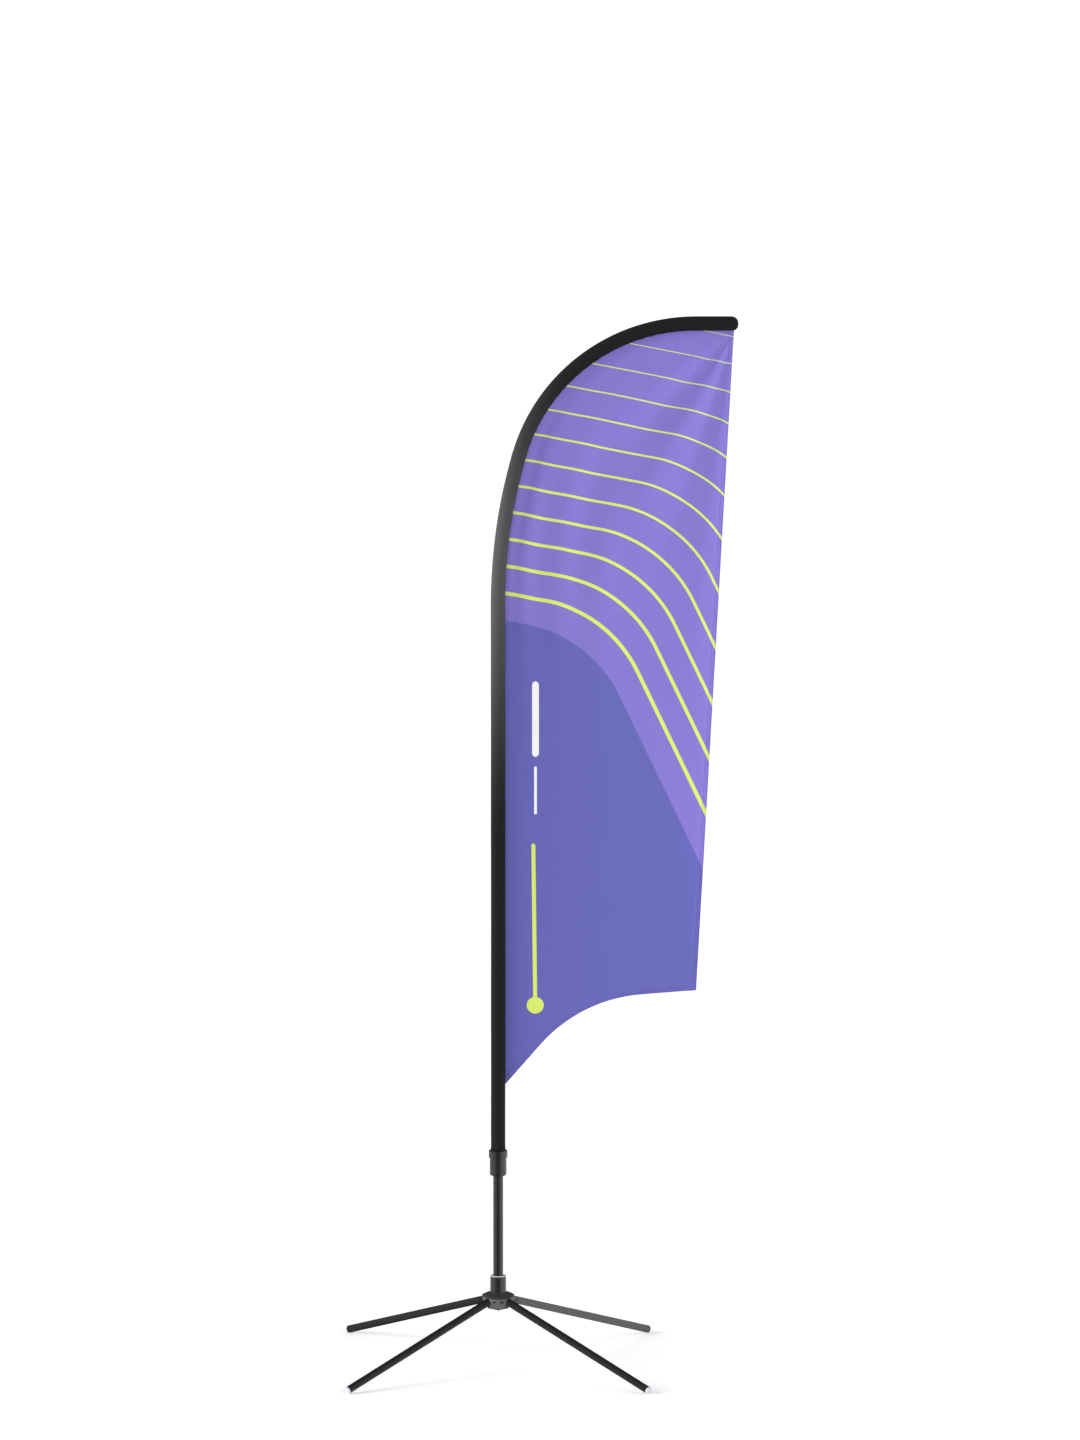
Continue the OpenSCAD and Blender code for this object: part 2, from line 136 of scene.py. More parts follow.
def noise(
    tree: bpy.types.NodeTree, place: bpy.types.NodeSocket, size_mm: float, detail: float
) -> bpy.types.NodeSocket:
    """Adds a noise texture.

    Args:
        tree: The material's nodes.
        place: The coordinates at which it is read, in metres.
        size_mm: About how large its features are.
        detail: Number of finer layers in it.

    Returns:
        The noise from 0 to 1.
    """
    links = {"Vector": place, "Scale": per_mm(size_mm), "Detail": detail}
    return add_node(tree, "TexNoise", None, links).outputs["Fac"]


def maths(
    tree: bpy.types.NodeTree, operation: str, *values: Any, **settings: Any
) -> bpy.types.NodeSocket:
    """Adds a maths node.

    Args:
        tree: The material's or world's nodes.
        operation: What the node does with its values.
        values: Numbers and other nodes' outputs, in order.
        settings: More attributes of the node.

    Returns:
        The result.
    """
    links = dict(enumerate(values))
    return add_node(tree, "Math", {"operation": operation, **settings}, links).outputs[0]


def share_of(
    tree: bpy.types.NodeTree, value: bpy.types.NodeSocket, low: float, high: float
) -> bpy.types.NodeSocket:
    """Adds a node that gives 0 where value is low, 1 where it is high and a share between."""
    links = {"Value": value, "From Min": low, "From Max": high}
    return add_node(tree, "MapRange", None, links).outputs["Result"]


def blend(
    tree: bpy.types.NodeTree, share: bpy.types.NodeSocket, first: str, second: str
) -> bpy.types.NodeSocket:
    """Adds a node that goes from the first hex colour to the second as share goes from 0 to 1."""
    links = {"Factor": share, "A": linear(first), "B": linear(second)}
    return add_node(tree, "Mix", {"data_type": "RGBA"}, links).outputs["Result"]


# ---- Finishes ----


@dataclass(frozen=True)
class Finish:
    """A surface finish: the constants on the shader and the nodes behind its colour and bump.

    Attributes:
        name: The material's name, for the real finish.
        tone: Main colour, sRGB hex.
        shade: The colour that the pattern moves towards.
        roughness: Typical roughness.
        metallic: 1 for bare metal.
        coat: Weight of a clear or polished coat.
        specular: Strength of the mirror-like part; 0.5 is the shader's own.
        gloss_spread: How far the roughness wanders to each side of its typical value.
    """

    name: str
    tone: str
    shade: str
    roughness: float
    metallic: float = 0.0
    coat: float = 0.0
    specular: float = 0.5
    gloss_spread: float = 0.08

    def make(self) -> bpy.types.Material:
        """Makes the material once and gives it back each later time.

        Returns:
            The Blender material.
        """
        found = bpy.data.materials.get(self.name)
        if found is not None:
            return found
        material = bpy.data.materials.new(self.name)
        material.use_nodes = True
        tree = material.node_tree
        shader = tree.nodes["Principled BSDF"]
        shader.inputs["Base Color"].default_value = linear(self.tone)
        shader.inputs["Metallic"].default_value = self.metallic
        shader.inputs["Roughness"].default_value = self.roughness
        shader.inputs["Specular IOR Level"].default_value = self.specular
        shader.inputs["Coat Weight"].default_value = self.coat
        shader.inputs["Coat Roughness"].default_value = COAT_ROUGHNESS
        material.diffuse_color = linear(self.tone)
        self.paint(tree, shader)
        return material

    def paint(self, tree: bpy.types.NodeTree, shader: bpy.types.Node) -> None:
        """Adds the nodes of the finish; each kind of finish has its own."""

    def mottle(
        self, tree: bpy.types.NodeTree, shader: bpy.types.Node, amount: bpy.types.NodeSocket
    ) -> None:
        """Mixes tone and shade by amount into the shader's colour.

        Args:
            tree: The material's nodes.
            shader: The shader to colour.
            amount: 0 for tone and 1 for shade.
        """
        tree.links.new(blend(tree, amount, self.tone, self.shade), shader.inputs["Base Color"])

    def bump(
        self,
        tree: bpy.types.NodeTree,
        shader: bpy.types.Node,
        height: bpy.types.NodeSocket,
        depth_mm: float,
        strength: float = 1.0,
    ) -> None:
        """Raises the surface by height times depth_mm in the shader's normal.

        Args:
            tree: The material's nodes.
            shader: The shader to give the bump to.
            height: Height from 0 to 1.
            depth_mm: What a height of 1 stands for.
            strength: Share of the bump that shows.
        """
        node = add_node(
            tree, "Bump", None, {"Strength": strength, "Distance": depth_mm * MM, "Height": height}
        )
        tree.links.new(node.outputs["Normal"], shader.inputs["Normal"])

    def uneven_gloss(
        self, tree: bpy.types.NodeTree, shader: bpy.types.Node, amount: bpy.types.NodeSocket
    ) -> None:
        """Lets the roughness vary round its typical value.

        Args:
            tree: The material's nodes.
            shader: The shader to change.
            amount: 0 for the glossiest and 1 for the dullest.
        """
        low = max(LEAST_ROUGHNESS, self.roughness - self.gloss_spread)
        links = {"Value": amount, "To Min": low, "To Max": self.roughness + self.gloss_spread}
        node = add_node(tree, "MapRange", None, links)
        tree.links.new(node.outputs["Result"], shader.inputs["Roughness"])


@dataclass(frozen=True)
class PowderCoat(Finish):
    """Powder coat on steel or a casting: a fine orange-peel skin that blurs every highlight.

    Attributes:
        peel_mm: Size of the skin's dimples; drawn coarse so that the skin shows in a close view.
        peel_depth_mm: Depth of the dimples.
        dust: How strongly a pale bloom lies on faces that look up.
        cloud_mm: Size of the clouds in its colour.
        cloud_share: How far the clouds go towards the shade.
    """

    peel_mm: float = 2.2
    peel_depth_mm: float = 0.05
    dust: float = 0.25
    cloud_mm: float = 55.0
    cloud_share: float = 0.35

    def paint(self, tree: bpy.types.NodeTree, shader: bpy.types.Node) -> None:
        """Cloudy colour, a dust bloom on upward faces, uneven gloss and the dimpled skin.

        Args:
            tree: The material's nodes.
            shader: The shader to lead them to.
        """
        place = own_place(tree)
        cloud = noise(tree, place, self.cloud_mm, 4.0)
        up = one_axis(tree, add_node(tree, "NewGeometry").outputs["Normal"], "Z")
        bloom = maths(tree, "MULTIPLY", share_of(tree, up, 0.2, 1.0), self.dust)
        share = maths(tree, "MULTIPLY_ADD", cloud, self.cloud_share, bloom, use_clamp=True)
        self.mottle(tree, shader, share)
        self.uneven_gloss(tree, shader, cloud)
        self.bump(tree, shader, noise(tree, place, self.peel_mm, 2.0), self.peel_depth_mm)


@dataclass(frozen=True)
class BowlLightPaintedCasting(PowderCoat):
    """The hub's casting: a dark dome above a bowl whose lighter grey is painted light, where light
    falls brighter on it.

    Attributes:
        dome: Colour of the dome.
        split_z: Height at which the bowl's painted lighter tone begins, in millimetres.
        blur: Half the height over which the two tones meet.
    """

    dome: str = "#2c2c2f"
    split_z: float = 171.5
    blur: float = 0.6

    def paint(self, tree: bpy.types.NodeTree, shader: bpy.types.Node) -> None:
        """The powder coat's nodes, with painted light: the tone goes from the lighter bowl to the dark
        dome by height on the casting.

        Args:
            tree: The material's nodes.
            shader: The shader to lead them to.
        """
        super().paint(tree, shader)
        height = one_axis(tree, own_place(tree), "Z")
        low, high = (self.split_z - self.blur) * MM, (self.split_z + self.blur) * MM
        # Painted light: below split_z the bowl takes the lighter tone, where light falls brighter on
        # it.
        tones = blend(tree, share_of(tree, height, low, high), self.tone, self.dome)
        cloudy = shader.inputs["Base Color"].links[0].from_node
        tree.links.new(tones, cloudy.inputs["A"])


@dataclass(frozen=True)
class ZincPlate(Finish):
    """Plated or oxidised steel: a faint cloud in its colour and fine brushed grit.

    Attributes:
        cloud_mm: Size of the clouds in its colour.
        grit_mm: Size of the grit.
        grit_depth_mm: Depth of the grit.
    """

    gloss_spread: float = 0.1
    cloud_mm: float = 9.0
    grit_mm: float = 0.8
    grit_depth_mm: float = 0.01

    def paint(self, tree: bpy.types.NodeTree, shader: bpy.types.Node) -> None:
        """Cloudy passivation colour, uneven gloss and grit.

        Args:
            tree: The material's nodes.
            shader: The shader to lead them to.
        """
        place = own_place(tree)
        cloud = noise(tree, place, self.cloud_mm, 5.0)
        self.mottle(tree, shader, cloud)
        self.uneven_gloss(tree, shader, cloud)
        self.bump(tree, shader, noise(tree, place, self.grit_mm, 2.0), self.grit_depth_mm)


@dataclass(frozen=True)
class DrawnMetal(Finish):
    """Drawn or pultruded stock: fine lines run the length of an upright piece.

    Attributes:
        line_mm: Spacing of the draw lines.
        line_depth_mm: Depth of the lines.
        along: Scale of the pattern along the piece, which draws the grains out into lines.
    """

    line_mm: float = 0.9
    line_depth_mm: float = 0.02
    along: float = 0.012

    def paint(self, tree: bpy.types.NodeTree, shader: bpy.types.Node) -> None:
        """Draw lines in colour, gloss and bump.

        Args:
            tree: The material's nodes.
            shader: The shader to lead them to.
        """
        scale = (1.0, 1.0, self.along)
        drawn = add_node(tree, "Mapping", None, {"Vector": own_place(tree), "Scale": scale})
        lines = noise(tree, drawn.outputs[0], self.line_mm, 3.0)
        self.mottle(tree, shader, lines)
        self.uneven_gloss(tree, shader, lines)
        self.bump(tree, shader, lines, self.line_depth_mm)


@dataclass(frozen=True)
class TurnedMetal(Finish):
    """Ground and turned bearing parts: rings round the mast's axis under a bright polish.

    Attributes:
        ring_mm: Spacing of the rings.
        ring_depth_mm: Depth of the rings.
        across: Scale of the pattern across the axis, which spreads the grains into rings.
    """

    ring_mm: float = 0.35
    ring_depth_mm: float = 0.006
    across: float = 0.02

    def paint(self, tree: bpy.types.NodeTree, shader: bpy.types.Node) -> None:
        """Turning rings in colour and bump.

        Args:
            tree: The material's nodes.
            shader: The shader to lead them to.
        """
        scale = (self.across, self.across, 1.0)
        stacked = add_node(tree, "Mapping", None, {"Vector": own_place(tree), "Scale": scale})
        rings = noise(tree, stacked.outputs[0], self.ring_mm, 2.0)
        self.mottle(tree, shader, rings)
        self.bump(tree, shader, rings, self.ring_depth_mm)


@dataclass(frozen=True)
class MouldedPlastic(Finish):
    """Injection-moulded plastic: an even satin skin with the mould's fine spark texture.

    Attributes:
        flow_mm: Size of the flow marks.
        flow_share: How far the flow marks go towards the shade.
        spark_mm: Size of the spark texture's pits.
        spark_depth_mm: Depth of the pits.
    """

    gloss_spread: float = 0.06
    flow_mm: float = 14.0
    flow_share: float = 0.6
    spark_mm: float = 1.1
    spark_depth_mm: float = 0.02

    def paint(self, tree: bpy.types.NodeTree, shader: bpy.types.Node) -> None:
        """Flow marks in the colour and a fine spark texture.

        Args:
            tree: The material's nodes.
            shader: The shader to lead them to.
        """
        place = own_place(tree)
        flow = noise(tree, place, self.flow_mm, 2.0)
        self.mottle(tree, shader, maths(tree, "MULTIPLY", flow, self.flow_share))
        spark = noise(tree, place, self.spark_mm, 3.0)
        self.uneven_gloss(tree, shader, spark)
        self.bump(tree, shader, spark, self.spark_depth_mm)


@dataclass(frozen=True)
class WovenCloth(Finish):
    """Plain-woven polyester, with its threads along the piece's own cut.

    Attributes:
        thread_mm: Thread spacing. Real polyester has 0.3 mm; it is drawn coarser to show.
        weave_depth_mm: Height of the threads.
        weave_share: Share of the weave's bump that shows.
        slub_mm: Length of the faint streaks along the threads.
        slub_thin: How many times narrower than long the streaks are.
        inked: True if the ink's colour is laid on flat, so that its edges stay crisp.
    """

    gloss_spread: float = 0.05
    thread_mm: float = 1.6
    weave_depth_mm: float = 0.10
    weave_share: float = 0.6
    slub_mm: float = 60.0
    slub_thin: float = 9.0
    inked: bool = False

    def weave(self, tree: bpy.types.NodeTree) -> tuple[bpy.types.NodeSocket, bpy.types.NodeSocket]:
        """The cut's coordinates and the height of warp over weft.

        Args:
            tree: The material's nodes.

        Returns:
            The cut coordinates in metres and the weave's height from 0 to 1.
        """
        cut = add_node(tree, "UVMap", {"uv_map": "cut"}).outputs["UV"]
        turn = FULL_TURN * per_mm(2 * self.thread_mm)
        warp, weft = (
            maths(tree, "SINE", maths(tree, "MULTIPLY", one_axis(tree, cut, axis), turn))
            for axis in ("X", "Y")
        )
        return cut, share_of(tree, maths(tree, "MULTIPLY", warp, weft), -1.0, 1.0)

    def slubs(self, tree: bpy.types.NodeTree, cut: bpy.types.NodeSocket) -> bpy.types.NodeSocket:
        """Faint streaks where the yarn runs thick and thin.

        Args:
            tree: The material's nodes.
            cut: The cut coordinates.

        Returns:
            The streaks' strength from 0 to 1.
        """
        scale = (self.slub_thin, 1.0, 1.0)
        stretched = add_node(tree, "Mapping", None, {"Vector": cut, "Scale": scale})
        return noise(tree, stretched.outputs[0], self.slub_mm, 6.0)

    def paint(self, tree: bpy.types.NodeTree, shader: bpy.types.Node) -> None:
        """Streaked yarn, uneven gloss and the weave's bump.

        Args:
            tree: The material's nodes.
            shader: The shader to lead them to.
        """
        cut, height = self.weave(tree)
        streaks = self.slubs(tree, cut)
        if not self.inked:
            self.mottle(tree, shader, streaks)
        self.uneven_gloss(tree, shader, streaks)
        self.bump(tree, shader, height, self.weave_depth_mm, self.weave_share)


@dataclass(frozen=True)
class SheenPaintedSleeveCloth(WovenCloth):
    """The black pocket cloth, with a painted sheen: its colour pales to grey along the pole's bend.

    Attributes:
        pale: Colour at the brightest place of the painted sheen.
        sheen_s: Distance along the pocket of the brightest place of the painted sheen.
        below: How far the painted sheen fades out below it.
        above: How far the painted sheen fades out above it.
        faint: Share of the yarn's streaks that shows.
    """

    pale: str = "#5b5b5d"
    sheen_s: float = 1520.0
    below: float = 720.0
    above: float = 560.0
    faint: float = 0.25

    def paint(self, tree: bpy.types.NodeTree, shader: bpy.types.Node) -> None:
        """The woven cloth's nodes, with a painted sheen: its tone is taken from the distance along the
        pocket.

        Args:
            tree: The material's nodes.
            shader: The shader to lead them to.
        """
        super().paint(tree, shader)
        cut = add_node(tree, "UVMap", {"uv_map": "cut"}).outputs["UV"]
        # Painted sheen: the tone goes from black to pale grey and back along the pocket, in place of
        # light on the satin cloth.
        low, high = (self.sheen_s - self.below) * MM, (self.sheen_s + self.above) * MM
        tones = add_node(
            tree, "ValToRGB", None, {0: share_of(tree, one_axis(tree, cut, "Y"), low, high)}
        )
        peak = self.below / (self.below + self.above)
        stops = tones.color_ramp
        stops.interpolation = "EASE"
        stops.elements[0].color = linear(self.tone)
        stops.elements[1].color = linear(self.tone)
        stops.elements.new(peak).color = linear(self.pale)
        streaked = shader.inputs["Base Color"].links[0].from_node
        tree.links.new(tones.outputs[0], streaked.inputs["A"])
        fade = maths(tree, "MULTIPLY", self.slubs(tree, cut), self.faint)
        tree.links.new(fade, streaked.inputs["Factor"])


@dataclass(frozen=True)
class MattePaint(Finish):
    """Flat studio paint, with only a trace of tone so that it stays plain.

    Attributes:
        glow: Light of its own, as on a floor that is lit from below to stay white.
        cloud_mm: Size of the clouds in its colour.
    """

    glow: float = 0.0
    cloud_mm: float = 2500.0

    def paint(self, tree: bpy.types.NodeTree, shader: bpy.types.Node) -> None:
        """A very faint cloud over the floor's even light.

        Args:
            tree: The material's nodes.
            shader: The shader to lead them to.
        """
        shader.inputs["Emission Color"].default_value = linear(self.tone)
        shader.inputs["Emission Strength"].default_value = self.glow
        self.mottle(tree, shader, noise(tree, own_place(tree), self.cloud_mm, 2.0))


# Black powder coat on steel tube: nearly black with a broad grey satin highlight.
BLACK_STEEL = PowderCoat(
    "satin_black_powder_coated_steel", "#1f1f20", "#28282a", 0.36, specular=0.12, dust=0.02
)
# The same coat on the turning stem, a little glossier because hands and the mast polish it.
STEM_STEEL = PowderCoat(
    "rubbed_black_powder_coated_steel", "#202021", "#28282a", 0.26, specular=0.45, dust=0.0
)
# Grey powder coat on the hinge pins and one leg tube; on the back-right leg tube the grey is painted
# light, where light falls brighter on that tube.
GREY_STEEL = PowderCoat(
    "satin_grey_powder_coated_steel", "#5d5d5f", "#636365", 0.46, specular=0.1, dust=0.05
)
# Smooth dark coat on the socket and collar: nearly black with a clear, soft highlight.
DARK_GREY_STEEL = PowderCoat(
    "dark_grey_powder_coated_metal", "#222223", "#2b2b2d", 0.28, specular=0.5, dust=0.02
)
# Shot-blasted, powder-coated casting, more dimpled than the tubes: dark dome, and a lighter bowl that
# is painted light.
HUB_CASTING = BowlLightPaintedCasting(
    "powder_coated_cast_hub",
    # Painted light: the bowl's light grey, where light falls brighter on it; the dome's dark grey is
    # the coat.
    "#68686a",
    "#707073",
    0.46,
    specular=0.13,
    peel_mm=3.2,
    peel_depth_mm=0.09,
    dust=0.0,
    dome="#1b1b1c",
)
# Zinc plate on screws, washer, stem collar and ferrule: small bright points on the black.
ZINC = ZincPlate("zinc_plated_steel", "#a9acb0", "#8d9094", 0.34, metallic=1.0)
# Black-oxidised rivets: dark points that hardly show on the black tubes.
BLACK_OXIDE = ZincPlate("black_oxidised_steel", "#3a3a3d", "#2c2c2f", 0.4, metallic=1.0)
# Ground bearing steel: mirror-like with fine rings.
BEARING_STEEL = TurnedMetal("ground_bearing_steel", "#c6c9cc", "#aeb1b5", 0.14, metallic=1.0)
# Pressed brass cage: warm against the steel.
CAGE_BRASS = TurnedMetal("pressed_brass", "#b8924a", "#a07c3a", 0.28, metallic=1.0)
# White nylon bush and end plugs: soft white with a satin skin.
WHITE_NYLON = MouldedPlastic("moulded_white_nylon", "#dadae2", "#c8c8d2", 0.42)
# Black nylon plugs and rings: darker and duller than the powder coat.
BLACK_NYLON = MouldedPlastic("moulded_black_nylon", "#232325", "#303033", 0.5)
# Anodised aluminium mast tube: pale, with draw lines along it.
ALUMINIUM = DrawnMetal("drawn_anodised_aluminium", "#b4b7bb", "#9da0a5", 0.32, metallic=1.0)
# Pultruded glass-fibre rod: cream resin with fibres along it under a clear skin.
GLASS_FIBRE = DrawnMetal(
    "pultruded_glass_fibre", "#dcd8c9", "#c3bda8", 0.35, coat=0.3, line_mm=1.4, line_depth_mm=0.03
)
# Black pocket cloth: matt polyester, with a painted sheen that pales it to grey along the pole's bend.
SLEEVE_CLOTH = SheenPaintedSleeveCloth(
    "black_polyester_pocket_cloth", "#1f1f1f", "#262627", 0.7, specular=0.1
)
# Dye-printed knitted polyester: flat, even colour with the slightest sheen of the yarn.
PRINTS = {
    Print.MAUVE: WovenCloth("mauve_dye_printed_polyester", "#8b7fd5", "#867ad0", 0.68, specular=0.1),
    Print.VIOLET: WovenCloth("violet_dye_printed_polyester", "#6c6cbd", "#6969b9", 0.68, specular=0.1),
    Print.LIME: WovenCloth(
        "lime_dye_printed_polyester", "#dff270", "#d6e96a", 0.68, specular=0.1, inked=True
    ),
    Print.WHITE: WovenCloth(
        "undyed_white_polyester", "#fbfbfb", "#f2f2f4", 0.68, specular=0.1, inked=True
    ),
}
# Bonded polyester thread: a tone darker than the cloth, round and slightly shiny.
VIOLET_THREAD = MouldedPlastic("violet_polyester_thread", "#6f68b8", "#5f59a4", 0.45)
BLACK_THREAD = MouldedPlastic("black_polyester_thread", "#343436", "#262628", 0.45)
# Pale studio floor and wall: clean, without a pattern.
STUDIO_PAINT = MattePaint("pale_studio_paint", "#fbfbfb", "#f8f8f8", 0.9, glow=0.34)


# ---- Mesh helpers ----


def new_piece(
    name: str,
    points: np.ndarray,
    faces: list[tuple[int, ...]],
    finishes: list[Finish],
    face_finish: np.ndarray | None = None,
    cut: np.ndarray | None = None,
) -> bpy.types.Object:
    """Makes a smooth mesh object.

    Args:
        name: The piece's name.
        points: Vertices in millimetres, one row each.
        faces: Vertex numbers of each face.
        finishes: The finish of each material slot.
        face_finish: Slot number of each face, or None for the first everywhere.
        cut: Flat cloth coordinates of each vertex, in millimetres, kept as the UV map "cut".

    Returns:
        The new object, in the scene.
    """
    mesh = bpy.data.meshes.new(name)
    mesh.from_pydata((np.asarray(points, float) * MM).tolist(), [], faces)
    for finish in finishes:
        mesh.materials.append(finish.make())
    mesh.polygons.foreach_set("use_smooth", [True] * len(mesh.polygons))
    if face_finish is not None:
        mesh.polygons.foreach_set("material_index", np.asarray(face_finish, np.int32))
    if cut is not None:
        layer = mesh.uv_layers.new(name="cut")
        corner = np.zeros(len(mesh.loops), np.int32)
        mesh.loops.foreach_get("vertex_index", corner)
        layer.data.foreach_set("uv", (np.asarray(cut, float)[corner] * MM).ravel())
    mesh.update()
    piece = bpy.data.objects.new(name, mesh)
    bpy.context.scene.collection.objects.link(piece)
    return piece


def lengths_along(line: np.ndarray) -> np.ndarray:
    """The distance of each point along a line of points, from its first."""
    return np.concatenate([[0.0], np.cumsum(np.linalg.norm(np.diff(line, axis=0), axis=1))])


def even_points(line: np.ndarray, spacing: float) -> np.ndarray:
    """Points at an even spacing along a line.

    Args:
        line: The line's points, in two or three dimensions.
        spacing: The wanted distance between points.

    Returns:
        The new points, with both ends kept.
    """
    s = lengths_along(line)
    count = max(1, round(s[-1] / spacing))
    wanted = np.linspace(0, s[-1], count + 1)
    return np.stack([np.interp(wanted, s, line[:, k]) for k in range(line.shape[1])], axis=1)


def arc_line(centre: tuple[float, float], radius: float, start: float, end: float) -> np.ndarray:
    """Points along an arc, every few millimetres.

    Args:
        centre: The arc's centre.
        radius: The arc's radius.
        start: First angle, in degrees.
        end: Last angle, in degrees.

    Returns:
        The arc's points.
    """
    count = max(4, round(abs(math.radians(end - start)) * radius / 6))
    a = np.radians(np.linspace(start, end, count + 1))
    return np.stack([centre[0] + radius * np.cos(a), centre[1] + radius * np.sin(a)], axis=1)


def inside(points: np.ndarray, outline: np.ndarray) -> np.ndarray:
    """Which points lie inside a closed outline.

    Args:
        points: Points to test, one row each.
        outline: The outline's corners in order.

    Returns:
        True for each point inside.
    """
    x, y = points[:, 0][:, None], points[:, 1][:, None]
    x0, y0 = outline[:, 0][None], outline[:, 1][None]
    x1, y1 = np.roll(outline[:, 0], -1)[None], np.roll(outline[:, 1], -1)[None]
    straddles = (y0 > y) != (y1 > y)
    with np.errstate(divide="ignore", invalid="ignore"):
        crossing = x0 + (y - y0) * (x1 - x0) / (y1 - y0)
    return (np.where(straddles & (x < crossing), 1, 0).sum(axis=1) % 2) == 1


def distance_to(points: np.ndarray, line: np.ndarray) -> np.ndarray:
    """The distance from each point to a line of points.

    Args:
        points: Points to measure from.
        line: The line's points in order.

    Returns:
        The shortest distances.
    """
    best = np.full(len(points), np.inf)
    for a, b in zip(line[:-1], line[1:]):
        d = b - a
        t = np.clip(((points - a) @ d) / max(float(d @ d), 1e-12), 0, 1)
        best = np.minimum(best, np.linalg.norm(points - (a + t[:, None] * d), axis=1))
    return best


def bell(values: np.ndarray, middle: float, width: float) -> np.ndarray:
    """A smooth bump of height 1 at middle, which dies away over width."""
    return np.exp(-(((values - middle) / width) ** 2))


def ramp(values: np.ndarray, start: float, end: float) -> np.ndarray:
    """A smooth step from 0 at start to 1 at end."""
    t = np.clip((values - start) / (end - start), 0, 1)
    return t * t * (3 - 2 * t)


@dataclass
class StitchRow:
    """A row of stitches along a line on the cloth.

    Attributes:
        line: The row's points in millimetres, in three dimensions.
        out: The direction out of the cloth at each point.
        pitch: Distance from stitch to stitch; drawn twice as long as real ones so that they show.
        length: Length of thread that shows in each stitch.
        width: Width of the thread.
        shoulder: Share of the length from the middle to where the thread is at its thickest.
        flatness: Height of the thread as a share of its width.
    """

    line: np.ndarray
    out: np.ndarray
    pitch: float = 6.0
    length: float = 4.4
    width: float = 0.8
    shoulder: float = 0.3
    flatness: float = 0.7

    def mesh(self, first: int) -> tuple[np.ndarray, list[tuple[int, ...]]]:
        """The row's stitches, each a small spindle of thread.

        Args:
            first: The number of the row's first vertex in the whole piece.

        Returns:
            The vertices and the faces.
        """
        s = lengths_along(self.line)
        middles = np.arange(self.pitch, s[-1] - self.pitch, self.pitch)
        centre, start, end, up = (
            np.stack([np.interp(middles + shift, s, data[:, k]) for k in range(3)], axis=1)
            for shift, data in (
                (0.0, self.line),
                (-self.length / 2, self.line),
                (self.length / 2, self.line),
                (0.0, self.out),
            )
        )
        forward = end - start
        forward /= np.linalg.norm(forward, axis=1)[:, None]
        up -= (up * forward).sum(axis=1)[:, None] * forward
        up /= np.linalg.norm(up, axis=1)[:, None]
        side = np.cross(forward, up)
        half = self.width / 2
        rings = [start]
        for share in (-self.shoulder, self.shoulder):
            ring = centre + forward * (share * self.length)
            for k in range(4):
                a = FULL_TURN * k / 4
                rise = half * self.flatness * math.sin(a)
                rings.append(ring + side * (half * math.cos(a)) + up * rise)
        rings.append(end)
        points = np.stack(rings, axis=1).reshape(-1, 3)
        faces: list[tuple[int, ...]] = []
        for i in range(len(middles)):
            b = first + i * 10
            for k in range(4):
                n = (k + 1) % 4
                faces.append((b, b + 1 + n, b + 1 + k))
                faces.append((b + 1 + k, b + 1 + n, b + 5 + n, b + 5 + k))
                faces.append((b + 9, b + 5 + k, b + 5 + n))
        return points, faces


def sew(name: str, rows: list[StitchRow], thread: Finish) -> bpy.types.Object:
    """Makes one piece of all the stitches in several rows.

    Args:
        name: The piece's name.
        rows: The rows to sew.
        thread: The thread's finish.

    Returns:
        The stitches.
    """
    points: list[np.ndarray] = []
    faces: list[tuple[int, ...]] = []
    count = 0
    for row in rows:
        more, row_faces = row.mesh(count)
        points.append(more)
        faces += row_faces
        count += len(more)
    return new_piece(name, np.concatenate(points), faces, [thread])


# ---- The pole's line and the pocket that follows it ----


@dataclass
class PolePath:
    """The line at the middle of the pole: upright, a gentle bend, a tight bend, a level end.

    Attributes:
        foot_z: Height of the pocket's lower edge.
        bend_z: Height at which the pole starts to bend.
        bend_r: Radius of the gentle bend.
        bend_a: Angle of the gentle bend, in degrees.
        crown_r: Radius of the tight bend.
        level: Length of the level end, up to the tip of the pocket.
    """

    foot_z: float = 532.0
    bend_z: float = 1942.0
    bend_r: float = 1380.0
    bend_a: float = 16.0
    crown_r: float = 460.0
    level: float = 105.0

    @property
    def bend_c(self) -> tuple[float, float]:
        """Centre of the gentle bend."""
        return self.bend_r, self.bend_z

    @property
    def crown_c(self) -> tuple[float, float]:
        """Centre of the tight bend."""
        a, gap = math.radians(self.bend_a), self.bend_r - self.crown_r
        return self.bend_r - gap * math.cos(a), self.bend_z + gap * math.sin(a)

    @property
    def stops(self) -> tuple[float, float, float]:
        """Distances along the line of the two bends' starts and the level end's start."""
        first = self.bend_z - self.foot_z
        second = first + self.bend_r * math.radians(self.bend_a)
        return first, second, second + self.crown_r * math.radians(90 - self.bend_a)

    def at(self, s: np.ndarray) -> tuple[np.ndarray, np.ndarray, np.ndarray]:
        """The line at distances along it.

        Args:
            s: Distances from the pocket's lower edge.

        Returns:
            x, z and the turn out of the upright, in radians.
        """
        first, second, third = self.stops
        a = math.radians(self.bend_a)
        turn = np.where(
            s < second,
            np.clip(s - first, 0, None) / self.bend_r,
            a + np.clip(s - second, 0, third - second) / self.crown_r,
        )
        x = np.where(
            s < second,
            self.bend_c[0] - self.bend_r * np.cos(turn),
            self.crown_c[0] - self.crown_r * np.cos(turn) + np.clip(s - third, 0, None),
        )
        z = np.where(
            s < first,
            self.foot_z + s,
            np.where(
                s < second,
                self.bend_c[1] + self.bend_r * np.sin(turn),
                self.crown_c[1] + self.crown_r * np.sin(turn),
            ),
        )
        return x, z, turn


